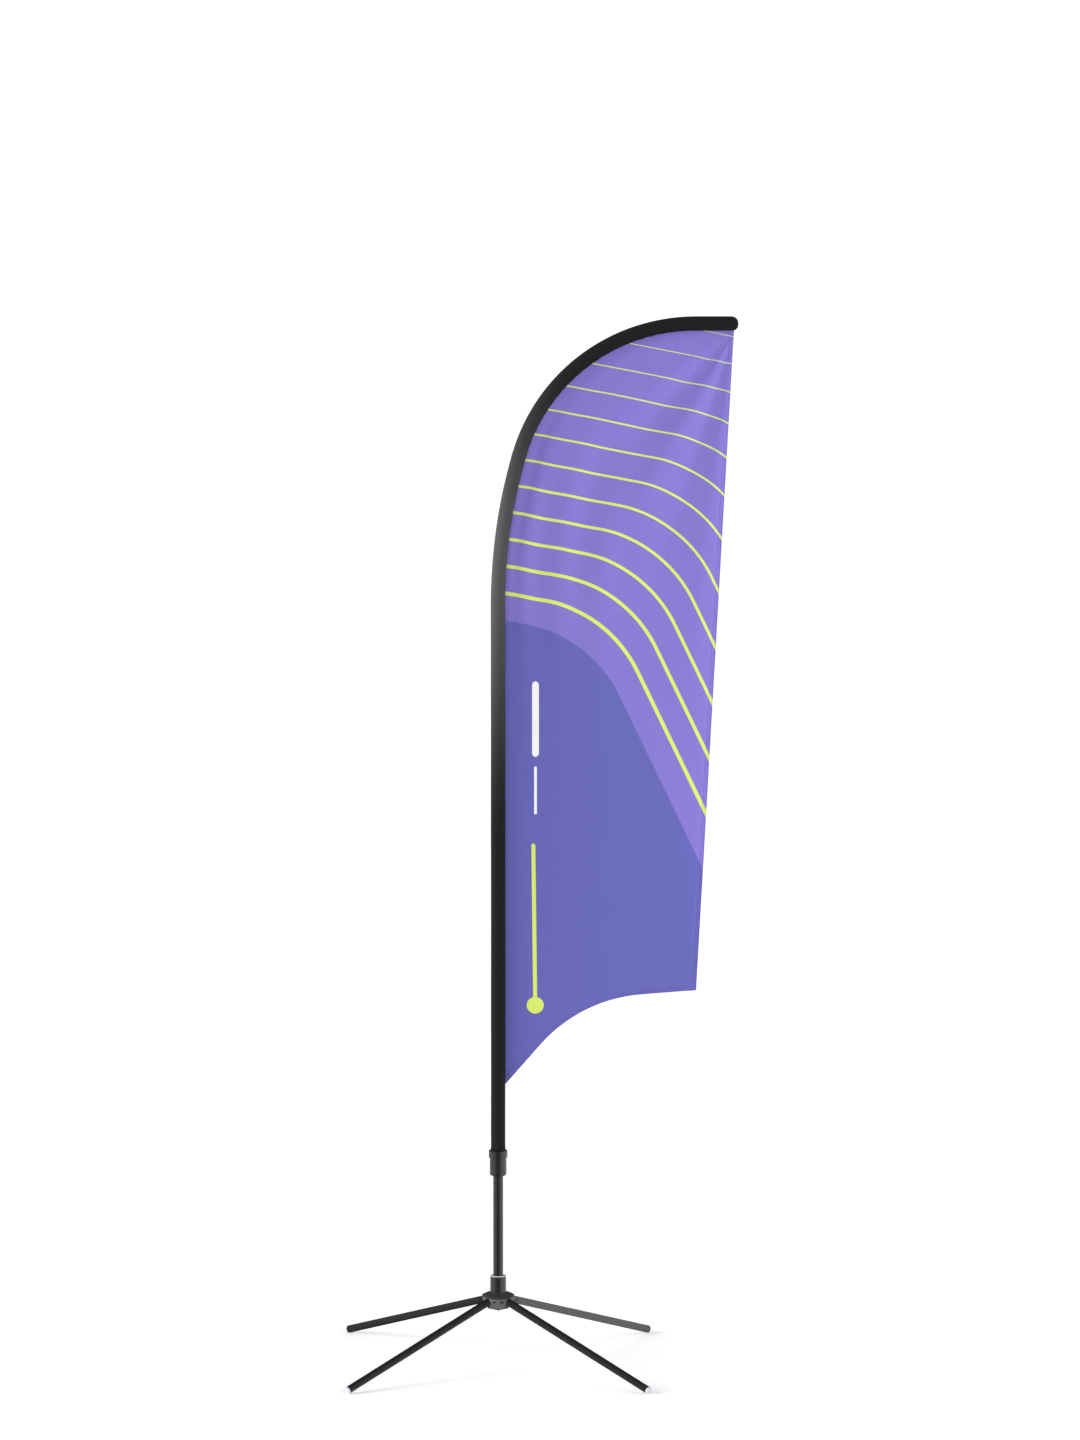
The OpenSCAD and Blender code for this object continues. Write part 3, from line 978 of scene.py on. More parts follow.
@dataclass
class PoleSleeve:
    """The pole pocket: black cloth sewn into a tube over the mast, closed at the tip.

    Attributes:
        path: The line it follows.
        radius: Half the pocket's width in the flag's plane.
        depth: Half its depth across the flag's plane, where the cloth is pulled flat.
        wall: Thickness of the cloth and its lining.
        station: Distance between the rings of the mesh.
        around: Points in each ring.
        hem: Height of the turned-up lower hem.
        crease: Height of the crosswise creases on the inside of the tight bend.
        crease_wave: Distance from one crease to the next.
        sag: Depth of the slack places.
        hem_t: How much the turned-up hem thickens the pocket.
        hem_edge: Height over which the hem's upper edge falls away.
        joint_t: How far the ring of the joint stands out.
        joint_w: Half the height of that ring.
        seam_a: Angle of the seams beside the flag from the flag's plane, in degrees.
        lift: How far the thread's middle stands off the cloth.
        joint_row: Distance of the joint's two rows of stitches from its middle.
        hem_row: Distance of the hem's row of stitches from the hem's upper edge.
        tip_square: How square the tip is above; 2 is round.
        tip_squarer: How much squarer it is below.
        tip_rings: Where the tip's rings lie, from 0 at the tube to 1 at the very tip.
    """

    path: PolePath
    radius: float = 17.4
    depth: float = 16.3
    wall: float = 0.9
    station: float = 8.0
    around: int = 48
    hem: float = 24.0
    crease: float = 0.8
    crease_wave: float = 29.0
    sag: float = 0.35
    hem_t: float = 0.45
    hem_edge: float = 1.2
    joint_t: float = 0.35
    joint_w: float = 9.6
    seam_a: float = 30.0
    lift: float = 0.1
    joint_row: float = 6.5
    hem_row: float = 2.5
    tip_square: float = 2.2
    tip_squarer: float = 0.5
    tip_rings: tuple[float, ...] = (0.2, 0.4, 0.6, 0.75, 0.88, 0.96)
    piece: bpy.types.Object | None = None
    threads: bpy.types.Object | None = None

    def surface(self, s: np.ndarray, round_a: np.ndarray, lift: float = 0.0) -> np.ndarray:
        """Points on the pocket's outside.

        Args:
            s: Distances along the pocket.
            round_a: Angles round it, 0 towards the flag and a quarter turn towards the front.
            lift: How far the points stand off the cloth.

        Returns:
            The points, one row each.
        """
        first, second, third = self.path.stops
        x, z, turn = self.path.at(s)
        flat = 1 / np.sqrt(
            (np.cos(round_a) / self.radius) ** 2 + (np.sin(round_a) / self.depth) ** 2
        )
        # Creases on the side towards the flag, mostly in the tight bend.
        inner = np.clip(np.cos(round_a), 0, None)
        phase = FULL_TURN * s / self.crease_wave
        folds = np.sin(phase + 1.7 * np.sin(s / 53) + 0.8 * np.sin(2 * round_a))
        tight = ramp(s, second - 60, second + 80) * ramp(-s, -third - 30, -third + 60)
        gentle = ramp(s, first - 200, first + 100) * ramp(-s, -second - 40, -second + 60)
        flat = flat - self.crease * (1 - folds) / 2 * inner**1.4 * (tight + 0.3 * gentle)
        # Slack places, which wander along the pocket and round it.
        sag = np.sin(s / 83 + 2.2 * np.sin(s / 210) + 2 * round_a) * np.sin(s / 131 + round_a)
        flat = flat - self.sag * (1 + sag) / 2
        # The turned-up hem and the ring of the joint.
        flat = flat + self.hem_t * ramp(-s, -self.hem - self.hem_edge, -self.hem)
        flat = flat + self.joint_t * ramp(-np.abs(s - second), -self.joint_w - 1.0, -self.joint_w)
        reach = flat + lift
        inward_x, inward_z = np.cos(turn), -np.sin(turn)
        across = np.cos(round_a) * reach
        return np.stack(
            [x + across * inward_x, -np.sin(round_a) * reach, z + across * inward_z], axis=1
        )

    def cap(self, share: float, round_a: np.ndarray) -> np.ndarray:
        """One ring of the closed tip, which is squarer below than above.

        Args:
            share: 0 at the tube's last ring and 1 at the very tip.
            round_a: Angles round the tip.

        Returns:
            The ring's points.
        """
        end_s = self.path.stops[2] + self.path.level - self.radius
        ring = self.surface(np.full(len(round_a), end_s), round_a)
        x, z, _ = self.path.at(np.array([end_s]))
        centre = np.array([x[0], 0.0, z[0]])
        power = 2 / (self.tip_square + self.tip_squarer * (1 + np.cos(round_a)) / 2)
        a = share * math.pi / 2
        shrunk = centre + (ring - centre) * (math.cos(a) ** power)[:, None]
        shrunk[:, 0] += self.radius * math.sin(a) ** power
        return shrunk

    def build(self) -> None:
        """Makes the pocket and its seams."""
        end_s = self.path.stops[2] + self.path.level - self.radius
        s = np.linspace(0, end_s, round(end_s / self.station) + 1)
        edges = np.array([self.hem, self.hem + self.hem_edge])
        s = np.unique(np.concatenate([s, edges]))
        a = FULL_TURN * np.arange(self.around) / self.around
        rings = [self.surface(np.full(self.around, v), a) for v in s]
        lengths = list(s)
        for share in self.tip_rings:
            rings.append(self.cap(share, a))
            lengths.append(end_s + self.radius * math.sin(share * math.pi / 2))
        tip = self.cap(1.0, a[:1])
        points = np.concatenate([*rings, tip])
        n = self.around
        faces: list[tuple[int, ...]] = []
        for i in range(len(rings) - 1):
            for k in range(n):
                m = (k + 1) % n
                faces.append((i * n + k, i * n + m, (i + 1) * n + m, (i + 1) * n + k))
        last = (len(rings) - 1) * n
        faces += [(last + k, last + (k + 1) % n, len(points) - 1) for k in range(n)]
        around_mm = np.abs(np.where(a > math.pi, FULL_TURN - a, a)) * self.radius
        cut = np.stack(
            [np.tile(around_mm, len(rings)), np.repeat(np.array(lengths), n)], axis=1
        )
        cut = np.concatenate([cut, [[0.0, end_s + self.radius]]])
        self.piece = new_piece("pocket_cloth", points, faces, [SLEEVE_CLOTH], cut=cut)
        wall = self.piece.modifiers.new("cloth_thickness", "SOLIDIFY")
        wall.thickness = self.wall * MM
        wall.offset = -1
        self.threads = sew("pocket_stitching", self.stitch_rows(end_s), BLACK_THREAD)

    def stitch_rows(self, end_s: float) -> list[StitchRow]:
        """The seam beside the flag on both faces, the hem's ring and the two rings of the joint.

        Args:
            end_s: Where the straight tube of the pocket ends.

        Returns:
            The rows.
        """
        s = np.arange(8, end_s, 6.0)
        lines = [(s, np.full(len(s), side * math.radians(self.seam_a))) for side in (-1, 1)]
        joint = self.path.stops[1]
        ring_a = np.linspace(0, FULL_TURN, 60)
        for at in (self.hem - self.hem_row, joint - self.joint_row, joint + self.joint_row):
            lines.append((np.full(len(ring_a), at), ring_a))
        rows = []
        for along, round_a in lines:
            line = self.surface(along, round_a, self.lift)
            rows.append(StitchRow(line, self.surface(along, round_a, self.lift + 1) - line))
        return rows

    def dress(self) -> None:
        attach(self.piece, "mast")
        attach(self.threads, "mast")
        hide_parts("pole_sleeve")


# ---- The flag ----


@dataclass
class PrintLayout:
    """The print: a violet field below, a mauve field with lime stripes above, and a lime pin.

    The stripes are one family of curves. Each slopes gently from the pocket, turns through one
    arc and runs down steeply to the free edge; the lowest member is the fields' border.

    Attributes:
        border_z: Height of the border at the pocket.
        stripe_pitch: Height from one stripe to the next.
        slope: Fall of the gentle part, in degrees.
        steep: Fall of the steep part, in degrees.
        turn_x: Distance from the mast's axis at which the border starts its arc.
        turn_step: How much further out each stripe above starts its arc.
        turn_r: Radius of the arcs.
        stripes: Number of stripes.
        wide: Width of the lowest stripe.
        thinner: How much narrower each stripe above is.
        pin_x: Distance of the pin's line from the mast's axis, at its foot.
        pin_lean: How far the pin's top leans towards the mast.
        pin_top: Height of the top of the pin's line.
        pin_low: Height of the middle of the pin's dot.
        pin_w: Width of the pin's line.
        dot_r: Radius of the pin's dot.
        bar_x: Distance of the two white bars from the mast's axis.
        bars: Lowest height, highest height and width of each plain white bar.
        pitch: Spacing of the points along the straight printed edges.
        sewn_x: Distance of the flag's sewn edge from the mast's axis.
        past: How far behind the mast's axis every curve starts.
        run: Length of the steep part of every curve, to well past the free edge.
        bottom: Height of the violet field's lower edge, below the flag.
    """

    border_z: float = 1901.0
    stripe_pitch: float = 69.8
    slope: float = 11.5
    steep: float = 64.4
    turn_x: float = 71.0
    turn_step: float = 46.5
    turn_r: float = 331.0
    stripes: int = 12
    wide: float = 9.6
    thinner: float = 0.74
    pin_x: float = 93.3
    pin_lean: float = 4.7
    pin_top: float = 1331.0
    pin_low: float = 918.0
    pin_w: float = 10.0
    dot_r: float = 21.5
    bar_x: float = 94.0
    bars: tuple[tuple[float, float, float], ...] = ((1552.0, 1745.0, 17.0), (1405.0, 1528.0, 7.0))
    pitch: float = 9.0
    sewn_x: float = 17.5
    past: float = 60.0
    run: float = 900.0
    bottom: float = 500.0

    def curve(self, member: int) -> np.ndarray:
        """The centre line of one member of the family, past both edges of the flag.

        Args:
            member: 0 for the border of the fields and 1 for the lowest stripe.

        Returns:
            Points from the pocket outwards.
        """
        fall = math.tan(math.radians(self.slope))
        z0 = self.border_z + member * self.stripe_pitch
        x_turn = self.turn_x + member * self.turn_step
        z_turn = z0 - fall * (x_turn - self.sewn_x)
        start = np.array([-self.past, z0 + fall * (self.sewn_x + self.past)])
        centre = (
            x_turn - self.turn_r * math.sin(math.radians(self.slope)),
            z_turn - self.turn_r * math.cos(math.radians(self.slope)),
        )
        arc = arc_line(centre, self.turn_r, 90 - self.slope, 90 - self.steep)
        away = math.radians(self.steep)
        end = arc[-1] + self.run * np.array([math.cos(away), -math.sin(away)])
        gentle = even_points(np.stack([start, arc[0]]), self.pitch)
        steep = even_points(np.stack([arc[-1], end]), self.pitch)
        return np.concatenate([gentle[:-1], arc, steep[1:]])

    def ribbon(self, line: np.ndarray, width: float) -> np.ndarray:
        """The closed outline of a band of even width along a line.

        Args:
            line: The band's middle.
            width: The band's width.

        Returns:
            The outline's points.
        """
        along = np.gradient(line, axis=0)
        along /= np.linalg.norm(along, axis=1)[:, None]
        out = np.stack([-along[:, 1], along[:, 0]], axis=1) * width / 2
        return np.concatenate([line + out, (line - out)[::-1]])

    def bar(self, low: tuple[float, float], high: tuple[float, float], width: float) -> np.ndarray:
        """The closed outline of a bar with round ends.

        Args:
            low: Middle of the lower end's arc.
            high: Middle of the upper end's arc.
            width: The bar's width.

        Returns:
            The outline's points.
        """
        tilt = math.degrees(math.atan2(high[1] - low[1], high[0] - low[0]))
        top = arc_line(high, width / 2, tilt - 90, tilt + 90)
        foot = arc_line(low, width / 2, tilt + 90, tilt + 270)
        sides = [
            even_points(np.stack([top[-1], foot[0]]), self.pitch)[1:-1],
            even_points(np.stack([foot[-1], top[0]]), self.pitch)[1:-1],
        ]
        return np.concatenate([top, sides[0], foot, sides[1]])

    def shapes(self) -> list[tuple[Print, np.ndarray]]:
        """Every printed shape as a closed outline, later ones over earlier ones.

        Returns:
            The ink and the outline of each shape.
        """
        border = self.curve(0)
        corner = np.array([[border[-1, 0], self.bottom], [-self.past, self.bottom]])
        found = [(Print.VIOLET, np.concatenate([border, corner]))]
        for k in range(1, self.stripes + 1):
            width = self.wide - self.thinner * (k - 1)
            found.append((Print.LIME, self.ribbon(self.curve(k), width)))
        foot = (self.pin_x, self.pin_low)
        top = (self.pin_x - self.pin_lean, self.pin_top - self.pin_w / 2)
        found.append((Print.LIME, self.bar(foot, top, self.pin_w)))
        found.append((Print.LIME, arc_line(foot, self.dot_r, 0, 360)[:-1]))
        for low, high, width in self.bars:
            ends = (self.bar_x, low + width / 2), (self.bar_x, high - width / 2)
            found.append((Print.WHITE, self.bar(*ends, width)))
        return found


@dataclass(frozen=True)
class Folds:
    """How the flag hangs: the heights of its folds and the places where they lie.

    Attributes:
        belly: How far the middle stands back.
        swing: How far the lower part swings forward towards the free edge.
        creases: Angle from straight down, height and angular width of each crease from the head.
        crease_reach: Distance from the head at which the creases are highest.
        ripple: Height of the upright ripples beside the pocket.
        ripple_wave: Distance from one ripple to the next.
        ripple_reach: How far from the pocket the ripples spread.
        ripple_at: Height on the flag of the strongest ripples, and their spread from it.
        cup: How far the free edge cups forward.
        cup_reach: How far from the free edge the cupping spreads.
        cup_at: Height on the flag of the deepest cupping, and its spread from it.
        flutter: Height, reach and length of the small waves of the free edge.
        pucker: Height, reach and length of the puckers along the sewn edge.
        hem_wave: Height, reach and length of the waves along the hem.
        held: How far from the sewn edge the seam still holds the cloth in the flag's plane.
    """

    belly: float = 13.0
    swing: float = 9.0
    creases: tuple[tuple[float, float, float], ...] = (
        (7, 4.0, 3),
        (17, -4.4, 4),
        (29, 6.2, 5),
        (43, -6.4, 6.5),
        (58, 4.8, 8),
    )
    crease_reach: float = 240.0
    ripple: float = 5.8
    ripple_wave: float = 112.0
    ripple_reach: float = 210.0
    ripple_at: tuple[float, float] = (2110.0, 300.0)
    cup: float = 3.4
    cup_reach: float = 30.0
    cup_at: tuple[float, float] = (1800.0, 620.0)
    flutter: tuple[float, float, float] = (1.0, 26.0, 171.0)
    pucker: tuple[float, float, float] = (0.45, 13.0, 37.0)
    hem_wave: tuple[float, float, float] = (0.9, 24.0, 63.0)
    held: float = 26.0


def edge_waves(
    distance: np.ndarray, place: np.ndarray, waves: tuple[float, float, float]
) -> np.ndarray:
    """Small waves beside an edge, which die away with distance from it.

    Args:
        distance: Distance of each point from the edge.
        place: Place of each point along the edge.
        waves: The waves' height, reach and length.

    Returns:
        How far each point moves.
    """
    height, reach, length = waves
    return height * np.exp(-distance / reach) * np.sin(FULL_TURN * place / length)


@dataclass
class FlagPanel:
    """The printed flag: sewn to the pocket, straight at its free edge, swept up at its hem.

    Attributes:
        path: The pole's line, which the flag's sewn edge follows.
        layout: The print.
        folds: How the flag hangs.
        seam: Distance of the sewn edge from the pole's line.
        low_z: Height of the lowest corner.
        foot: The bottom outer corner.
        head_in: How far the top corner stops short of the pocket's tip.
        hem_steep: Slope of the hem at the pocket, in degrees.
        hem_shallow: Slope of the hem at its outer end.
        hem_r: Radius between the hem's two stretches.
        cloth: Thickness of the cloth.
        fold_w: Width of the folded and sewn hem.
        fold_t: Extra thickness of the hem.
        pitch: Spacing of the mesh's points.
        row_share: Height from one row of those points to the next, as a share of pitch.
        clear_share: How far they stay clear of a printed edge, as a share of pitch.
        stitch_rows_in: Distances of the two rows of stitches from the cloth's edge.
        stitch_lift: How far the thread's middle stands off the cloth.
    """

    path: PolePath
    layout: PrintLayout
    folds: Folds
    seam: float = 17.0
    low_z: float = 715.0
    foot: tuple[float, float] = (497.5, 958.0)
    head_in: float = 10.0
    hem_steep: float = 49.0
    hem_shallow: float = 5.0
    hem_r: float = 380.0
    cloth: float = 0.5
    fold_w: float = 12.0
    fold_t: float = 0.7
    pitch: float = 9.5
    row_share: float = 0.87
    clear_share: float = 0.42
    stitch_rows_in: tuple[float, float] = (2.6, 10.2)
    stitch_lift: float = 0.22
    piece: bpy.types.Object | None = None
    threads: bpy.types.Object | None = None
    lines: dict[str, np.ndarray] = field(default_factory=dict)

    @property
    def head(self) -> np.ndarray:
        """The top outer corner."""
        c = self.path.crown_c
        return np.array([c[0] + self.path.level - self.head_in, c[1] + self.path.crown_r - self.seam])

    def draw(self) -> None:
        """Draws the flag's outline: the sewn edge, the free edge and the hem."""
        path, c, k = self.path, self.path.crown_c, self.path.bend_c
        sewn = np.concatenate(
            [
                np.array([[self.seam, self.low_z], [self.seam, path.bend_z]]),
                arc_line(k, path.bend_r - self.seam, 180, 180 - path.bend_a)[1:],
                arc_line(c, path.crown_r - self.seam, 180 - path.bend_a, 90)[1:],
                self.head[None],
            ]
        )
        k0, k1 = (math.tan(math.radians(a)) for a in (self.hem_steep, self.hem_shallow))
        x = (self.foot[1] - self.low_z - k1 * self.foot[0] + k0 * self.seam) / (k0 - k1)
        corner = np.array([x, self.low_z + k0 * (x - self.seam)])
        steep = math.radians(self.hem_steep)
        turn_in = self.hem_r * math.tan(math.radians(self.hem_steep - self.hem_shallow) / 2)
        way = np.array([math.cos(steep), math.sin(steep)])
        centre = corner - turn_in * way + self.hem_r * np.array([way[1], -way[0]])
        bow = arc_line(tuple(centre), self.hem_r, 90 + self.hem_shallow, 90 + self.hem_steep)
        hem = np.concatenate([[self.foot], bow, [[self.seam, self.low_z]]])
        self.lines = {
            "sewn": even_points(sewn, self.pitch),
            "free": even_points(np.stack([self.head, np.array(self.foot)]), self.pitch),
            "hem": even_points(hem, self.pitch),
        }

    def outline(self) -> np.ndarray:
        """The flag's closed outline."""
        return np.concatenate([self.lines[n][:-1] for n in ("sewn", "free", "hem")])

    def inset(self, distance: float) -> np.ndarray:
        """The free edge and hem, moved into the cloth, as one open line.

        Args:
            distance: How far from the edges.

        Returns:
            The line's points, from the head to the lowest corner.
        """
        line = np.concatenate([self.lines["free"], self.lines["hem"][1:]])
        along = np.gradient(line, axis=0)
        along /= np.linalg.norm(along, axis=1)[:, None]
        moved = line + distance * np.stack([along[:, 1], -along[:, 0]], axis=1)
        corner = len(self.lines["free"]) - 1
        # Beside the corner the moved points would cross over, so only the corner's own stays.
        near = np.linalg.norm(line - line[corner], axis=1) < 1.6 * distance
        moved = moved[~near | (np.arange(len(line)) == corner)]
        deep_enough = distance_to(moved, line) > 0.9 * distance
        return moved[deep_enough]

    def drape(self, p: np.ndarray) -> np.ndarray:
        """How far the cloth stands behind the flag's plane at points on it.

        Args:
            p: x and z of each point.

        Returns:
            The distances, positive towards the back.
        """
        x, z = p[:, 0], p[:, 1]
        head, foot = self.head, np.array(self.foot)
        sewn = self.lines["sewn"]
        left = np.interp(z, sewn[:, 1], sewn[:, 0])
        right = foot[0] + (z - foot[1]) * (head[0] - foot[0]) / (head[1] - foot[1])
        across = np.clip((x - left) / np.maximum(right - left, 1), 0, 1)
        from_free = np.clip(right - x, 0, None)
        rise = np.clip((z - self.low_z) / (head[1] - self.low_z), 0, 1)
        f = self.folds
        y = f.belly * np.sin(math.pi * across**0.8) * np.sin(math.pi * rise) ** 0.8
        y = y - f.swing * across**2 * np.sin(math.pi * rise * 1.15) * (1 - rise)
        # Creases that run from the head, where the tight bend pulls the cloth.
        out, down = head[0] - x, head[1] - z
        swing = np.degrees(np.arctan2(out, np.maximum(down, 1e-6)))
        reach = np.hypot(out, down) / f.crease_reach
        fan = reach * np.exp(1 - reach)
        for at, height, width in f.creases:
            y = y + height * bell(swing, at, width) * fan
        # Soft upright ripples beside the pocket, from the gentle bend.
        u = x - left
        band = bell(z, *f.ripple_at) * bell(u, 0, f.ripple_reach) * ramp(u, 0, 30)
        y = y + f.ripple * np.sin(FULL_TURN * (u + 6) / f.ripple_wave) * band
        # The free edge cups a little and flutters.
        y = y - f.cup * bell(from_free, 0, f.cup_reach) * bell(z, *f.cup_at)
        y = y + edge_waves(from_free, z, f.flutter) * ramp(rise, 0.1, 0.3)
        # Puckers along the sewn edge and the hem.
        by_seam = distance_to(p, sewn)
        y = y + edge_waves(by_seam, z + 0.8 * x, f.pucker) * ramp(by_seam, 0, 6)
        y = y + edge_waves(distance_to(p, self.lines["hem"]), x, f.hem_wave) * across
        return y * ramp(by_seam, -2, f.held)

    def thickness(self, p: np.ndarray) -> np.ndarray:
        """The cloth's thickness at points on the flag, with the folded hems.

        Args:
            p: x and z of each point.

        Returns:
            The thicknesses.
        """
        edge = np.concatenate([self.lines["free"], self.lines["hem"][1:]])
        near = distance_to(p, edge)
        return self.cloth + self.fold_t * (1 - ramp(near, self.fold_w, self.fold_w + 1.0))

    def net(self) -> tuple[np.ndarray, np.ndarray]:
        """Cuts the flag into triangles that keep every printed edge.

        Returns:
            The points and the triangles' corner numbers.
        """
        outline = self.outline()
        closed = [outline] + [s for _, s in self.layout.shapes()]
        opened = [self.inset(self.fold_w), self.inset(self.fold_w + 1.0)]
        points: list[np.ndarray] = []
        edges: list[tuple[int, int]] = []
        count = 0
        for line, is_closed in [(c, True) for c in closed] + [(o, False) for o in opened]:
            n = len(line)
            keep = inside(line, outline) if line is not outline else np.ones(n, bool)
            keep = keep | np.roll(keep, 1) | np.roll(keep, -1)
            numbers = np.where(keep, count + np.cumsum(keep) - 1, -1)
            points.append(line[keep])
            count += int(keep.sum())
            for i in range(n if is_closed else n - 1):
                a, b = int(numbers[i]), int(numbers[(i + 1) % n])
                if a >= 0 and b >= 0:
                    edges.append((a, b))
        low, high = outline.min(0), outline.max(0)
        rows = np.arange(low[1], high[1], self.pitch * self.row_share)
        staggered = []
        for i, row in enumerate(rows):
            columns = np.arange(low[0] + (i % 2) * self.pitch / 2, high[0], self.pitch)
            staggered.append(np.stack([columns, np.full(len(columns), row)], axis=1))
        grid = np.concatenate(staggered)
        grid = grid[inside(grid, outline)]
        # In parts, so that the table of distances stays small.
        near = np.concatenate(points)
        for start in range(0, len(near), 400):
            part = near[start : start + 400]
            gap = np.linalg.norm(grid[:, None] - part[None], axis=2).min(axis=1)
            grid = grid[gap > self.pitch * self.clear_share]
        flat = np.concatenate([*points, grid])
        made = delaunay_2d_cdt([Vector(p) for p in flat.tolist()], edges, [], 0, 1e-5)
        places = np.array([tuple(v) for v in made[0]])
        triangles = np.array([f for f in made[2] if len(f) == 3])
        middle = places[triangles].mean(axis=1)
        triangles = triangles[inside(middle, outline)]
        corners = places[triangles]
        side_a, side_b = corners[:, 1] - corners[:, 0], corners[:, 2] - corners[:, 0]
        area = side_a[:, 0] * side_b[:, 1] - side_a[:, 1] * side_b[:, 0]
        # Slivers without an area go, and every triangle turns the same way round.
        real = np.abs(area) > 1e-4
        triangles, area = triangles[real], area[real]
        triangles[area < 0] = triangles[area < 0][:, ::-1]
        used = np.unique(triangles)
        renumber = np.full(len(places), -1)
        renumber[used] = np.arange(len(used))
        return places[used], renumber[triangles]

    def inks(self, middle: np.ndarray) -> np.ndarray:
        """The ink of each triangle.

        Args:
            middle: The triangles' middles.

        Returns:
            The material slot numbers.
        """
        ink = np.full(len(middle), Print.MAUVE.value)
        for kind, shape in self.layout.shapes():
            ink[inside(middle, shape)] = kind.value
        return ink

    def build(self) -> None:
        """Makes the flag and its hem stitching."""
        self.draw()
        places, triangles = self.net()
        y, half = self.drape(places), self.thickness(places) / 2
        front = np.stack([places[:, 0], y - half, places[:, 1]], axis=1)
        back = np.stack([places[:, 0], y + half, places[:, 1]], axis=1)
        n = len(places)
        ink = self.inks(places[triangles].mean(axis=1))
        sides = np.concatenate([triangles[:, [0, 1]], triangles[:, [1, 2]], triangles[:, [2, 0]]])
        owner = np.tile(np.arange(len(triangles)), 3)
        key = np.sort(sides, axis=1)
        _, where, uses = np.unique(key, axis=0, return_index=True, return_counts=True)
        rim = where[uses == 1]
        faces = [tuple(t) for t in triangles.tolist()]
        faces += [tuple(t) for t in (triangles[:, ::-1] + n).tolist()]
        faces += [(int(b), int(a), int(a) + n, int(b) + n) for a, b in sides[rim].tolist()]
        slots = np.concatenate([ink, ink, ink[owner[rim]]])
        cut = np.concatenate([places, places])
        self.piece = new_piece(
            "printed_flag",
            np.concatenate([front, back]),
            faces,
            [PRINTS[p] for p in Print],
            slots,
            cut,
        )
        crisp = {frozenset((int(a) + k, int(b) + k)) for a, b in sides[rim].tolist() for k in (0, n)}
        mesh = self.piece.data
        sharp = [frozenset(e.vertices) in crisp for e in mesh.edges]
        mesh.attributes.new("sharp_edge", "BOOLEAN", "EDGE").data.foreach_set("value", sharp)
        self.threads = sew("flag_hem_stitching", self.stitch_rows(), VIOLET_THREAD)

    def stitch_rows(self) -> list[StitchRow]:
        """Two rows along the free edge and hem, on both faces of the cloth.

        Returns:
            The rows.
        """
        rows = []
        for deep in self.stitch_rows_in:
            flat = even_points(self.inset(deep), 4.0)
            y = self.drape(flat)
            half = (self.cloth + self.fold_t) / 2
            for side in (-1, 1):
                line = np.stack([flat[:, 0], y + side * (half + self.stitch_lift), flat[:, 1]], axis=1)
                out = np.tile([0.0, float(side), 0.0], (len(flat), 1))
                rows.append(StitchRow(line, out))
        return rows

    def dress(self, pocket: bpy.types.Object) -> None:
        """Args:
            pocket: The pocket that it is sewn to. Not used.
        """
        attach(self.piece, "mast")
        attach(self.threads, "mast")
        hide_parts("flag_panel")


# ---- Finishes on the CAD pieces ----


@dataclass
class FinishedMetalwork:
    """A sub-assembly whose CAD pieces keep their shape and get their real finish.

    Attributes:
        title: What the sub-assembly is.
        finishes: The finish of each CAD node.
    """

    title: str
    finishes: dict[str, Finish]

    def dress(self) -> None:
        """Puts the finish on every material slot of each piece."""
        for node, finish in self.finishes.items():
            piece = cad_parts[node]
            material = finish.make()
            if not piece.material_slots:
                piece.data.materials.append(material)
            for place in piece.material_slots:
                place.material = material
            LOG.info("%s: %s gets %s", self.title, node, finish.name)


@dataclass
class CrossBase(FinishedMetalwork):
    """The hub, its socket and bearing, and the four folding legs."""

    title: str = "cross base"
    finishes: dict[str, Finish] = field(
        default_factory=lambda: {
            "hub": HUB_CASTING,
            "socket_tube": DARK_GREY_STEEL,
            "top_bush": WHITE_NYLON,
            "bearing_outer_race": BEARING_STEEL,
            "bearing_balls": BEARING_STEEL,
            "bearing_cage": CAGE_BRASS,
            "bottom_cover": BLACK_STEEL,
            "cover_screws": ZINC,
            "hinge_pins": GREY_STEEL,
        }
        | {
            f"leg_{part}_{end}_{side}": finish
            for part, finish in (
                ("tube", BLACK_STEEL),
                ("knuckle", BLACK_STEEL),
                ("rivet", BLACK_OXIDE),
                ("plug", BLACK_NYLON),
            )
            for end in ("front", "back")
            for side in ("left", "right")
        }
        | {
            # Painted light: the back-right leg tube is grey where light falls brighter on it.
            "leg_tube_back_right": GREY_STEEL,
            "leg_plug_front_left": WHITE_NYLON,
            "leg_plug_front_right": WHITE_NYLON,
        }
    )


@dataclass
class TurningStem(FinishedMetalwork):
    """The stem that turns in the hub, and what holds it there."""

    title: str = "turning stem"
    finishes: dict[str, Finish] = field(
        default_factory=lambda: {
            "stem_tube": STEM_STEEL,
            "stem_collar": ZINC,
            "bearing_inner_race": BEARING_STEEL,
            "stem_foot_plug": ALUMINIUM,
            "stem_foot_washer": ZINC,
            "stem_foot_bolt": ZINC,
            "stem_top_plug": BLACK_NYLON,
        }
    )


@dataclass
class SectionMast(FinishedMetalwork):
    """The mast's collar, its tubes and its bending tip."""

    title: str = "mast"
    finishes: dict[str, Finish] = field(
        default_factory=lambda: {
            "collar": DARK_GREY_STEEL,
            "collar_screw": ZINC,
            "mast_lower_tube": ALUMINIUM,
            "mast_stop": BLACK_NYLON,
            "mast_lower_ring": BLACK_NYLON,
            "mast_middle_tube": BLACK_NYLON,
            "mast_upper_ring": BLACK_NYLON,
            "mast_upper_tube": BLACK_NYLON,
            "mast_rod": GLASS_FIBRE,
            "rod_ferrule": ZINC,
            "mast_tip": GLASS_FIBRE,
            "tip_cap": BLACK_NYLON,
        }
    )


# ---- Studio ----


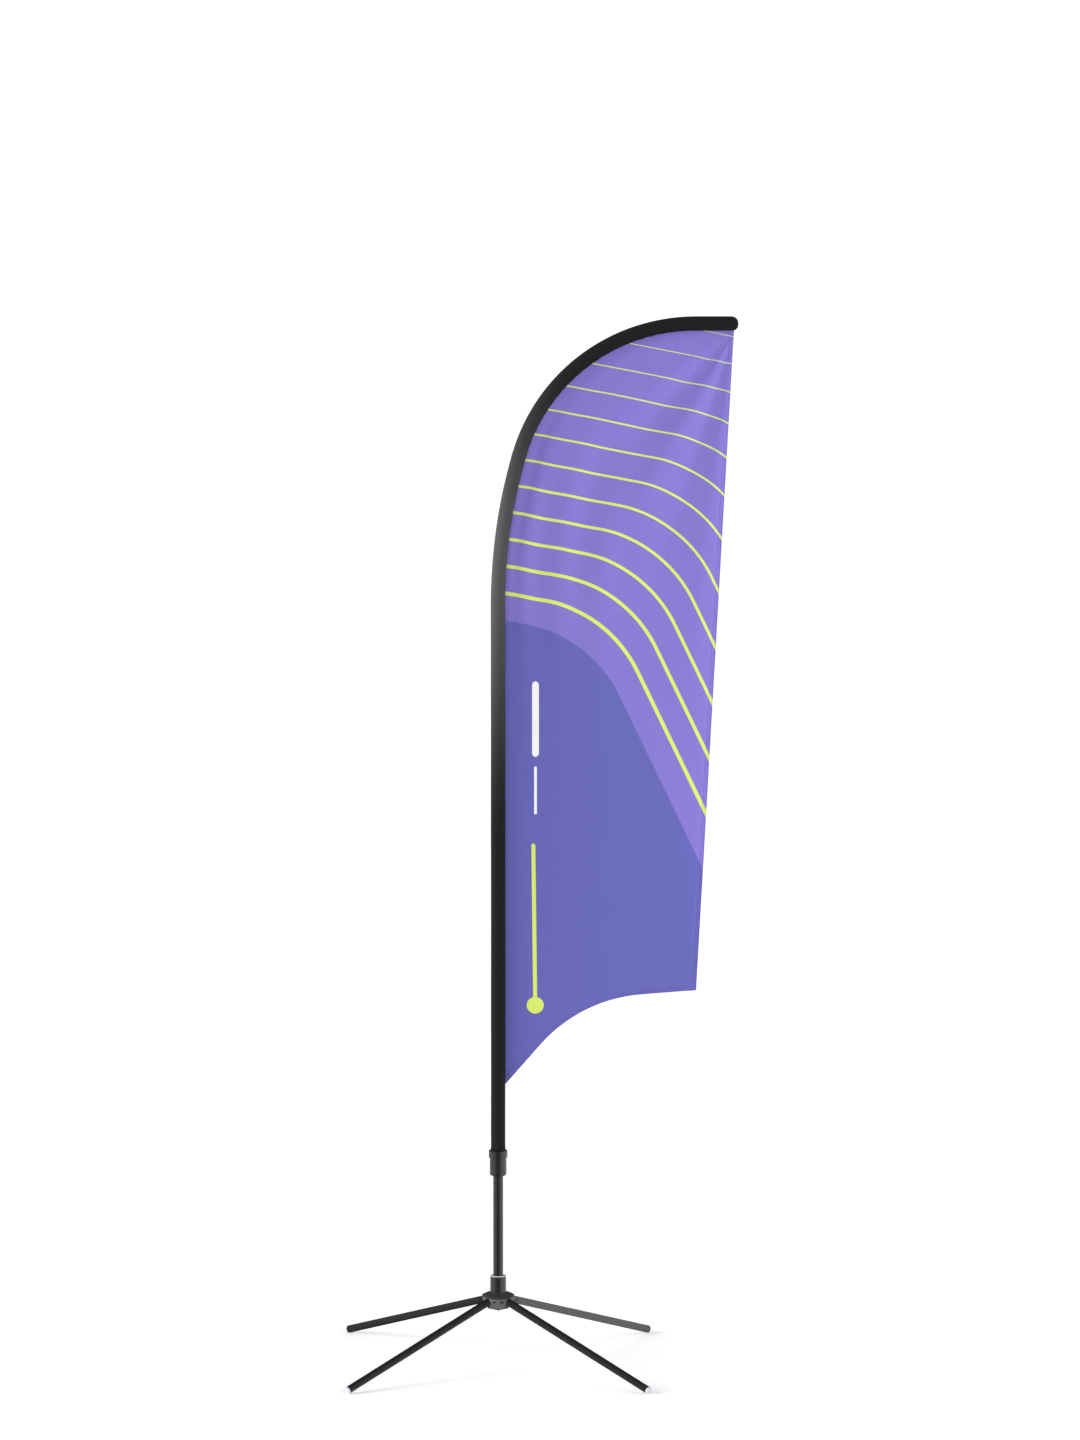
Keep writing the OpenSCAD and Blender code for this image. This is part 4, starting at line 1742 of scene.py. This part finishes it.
@dataclass
class Studio:
    """A plain pale floor, soft light and the camera.

    Attributes:
        lens: Focal length, in millimetres.
        sensor: Width of the sensor, in millimetres.
        far: Distance at which the camera stops seeing, in metres.
        distance: Distance of the camera from what it looks at, in metres.
        elevation: How high the camera looks from, in degrees above the horizon.
        look_at: The point at the middle of the view, in metres.
        floor_side: Side of the floor, in metres.
        sky_middle: Strength of the surroundings in front and behind, which keeps blacks black.
        sky_left: Strength that the white surroundings gain on the left.
        sky_right: Strength that they gain on the right.
        left_part: Where along X the left's gain starts and is full, on a unit sphere.
        right_part: Where the right's gain starts and is full.
        window: Strength of the soft light from the left that shows the cloth's folds.
        window_angle: How wide that light is, in degrees.
        window_aim: The way that light shines.
    """

    lens: float = 598.0
    sensor: float = 36.0
    far: float = 300.0
    distance: float = 60.0
    elevation: float = 10.36
    look_at: tuple[float, float, float] = (0.1053, 0.0, 1.6475)
    floor_side: float = 260.0
    sky_middle: float = 0.06
    sky_left: float = 1.0
    sky_right: float = 1.6
    left_part: tuple[float, float] = (-0.2, -0.9)
    right_part: tuple[float, float] = (0.15, 0.85)
    window: float = 2.4
    window_angle: float = 30.0
    window_aim: tuple[float, float, float] = (0.95, 0.27, -0.35)

    def build(self) -> None:
        """Makes the camera, floor, surroundings and lights."""
        self.place_camera()
        self.lay_floor()
        self.light()

    def place_camera(self) -> None:
        """Makes the scene's camera, which looks along +Y and a little down."""
        data = bpy.data.cameras.new("studio_camera")
        data.lens = self.lens
        data.sensor_width = self.sensor
        data.clip_end = self.far
        camera = bpy.data.objects.new("studio_camera", data)
        a = math.radians(self.elevation)
        target = Vector(self.look_at)
        camera.location = target + self.distance * Vector((0.0, -math.cos(a), math.sin(a)))
        aim = target - camera.location
        camera.rotation_euler = aim.to_track_quat("-Z", "Y").to_euler()
        bpy.context.scene.collection.objects.link(camera)
        bpy.context.scene.camera = camera

    def lay_floor(self) -> None:
        """Lays the floor just under the feet."""
        half = self.floor_side / 2 / MM
        corners = np.array([[-half, -half, 0], [half, -half, 0], [half, half, 0], [-half, half, 0]])
        floor = new_piece("studio_floor", corners, [(0, 1, 2, 3)], [STUDIO_PAINT])
        floor.visible_glossy = False

    def light(self) -> None:
        """Makes the white surroundings at both sides and the soft window light from the left."""
        scene = bpy.context.scene
        scene.view_settings.view_transform = "Standard"
        world = bpy.data.worlds.new("white_studio")
        world.use_nodes = True
        scene.world = world
        tree = world.node_tree
        across = one_axis(tree, add_node(tree, "TexCoord").outputs["Generated"], "X")
        strength: Any = self.sky_middle
        for part, gain in ((self.left_part, self.sky_left), (self.right_part, self.sky_right)):
            side = add_node(
                tree,
                "MapRange",
                {"interpolation_type": "SMOOTHSTEP"},
                {"Value": across, "From Min": part[0], "From Max": part[1], "To Max": gain},
            )
            strength = maths(tree, "ADD", side.outputs["Result"], strength)
        background = tree.nodes["Background"]
        background.inputs["Color"].default_value = linear("#ffffff")
        tree.links.new(strength, background.inputs["Strength"])
        sun = bpy.data.lights.new("window_light", "SUN")
        sun.energy = self.window
        sun.angle = math.radians(self.window_angle)
        lamp = bpy.data.objects.new("window_light", sun)
        lamp.rotation_euler = Vector(self.window_aim).to_track_quat("-Z", "Y").to_euler()
        lamp.visible_glossy = False
        scene.collection.objects.link(lamp)


def main() -> None:
    """Builds the flag's cloth, dresses every CAD piece and sets up the studio."""
    logging.basicConfig(level=logging.INFO, format="%(name)s: %(message)s")
    Studio().build()
    for metalwork in (CrossBase(), TurningStem(), SectionMast()):
        metalwork.dress()
    path = PolePath()
    pocket = PoleSleeve(path)
    pocket.build()
    pocket.dress()
    LOG.info("pocket: %d points", len(pocket.piece.data.vertices))
    flag = FlagPanel(path, PrintLayout(), Folds())
    flag.build()
    flag.dress(pocket.piece)
    LOG.info("flag: %d points", len(flag.piece.data.vertices))


if __name__ == "__main__":
    main()
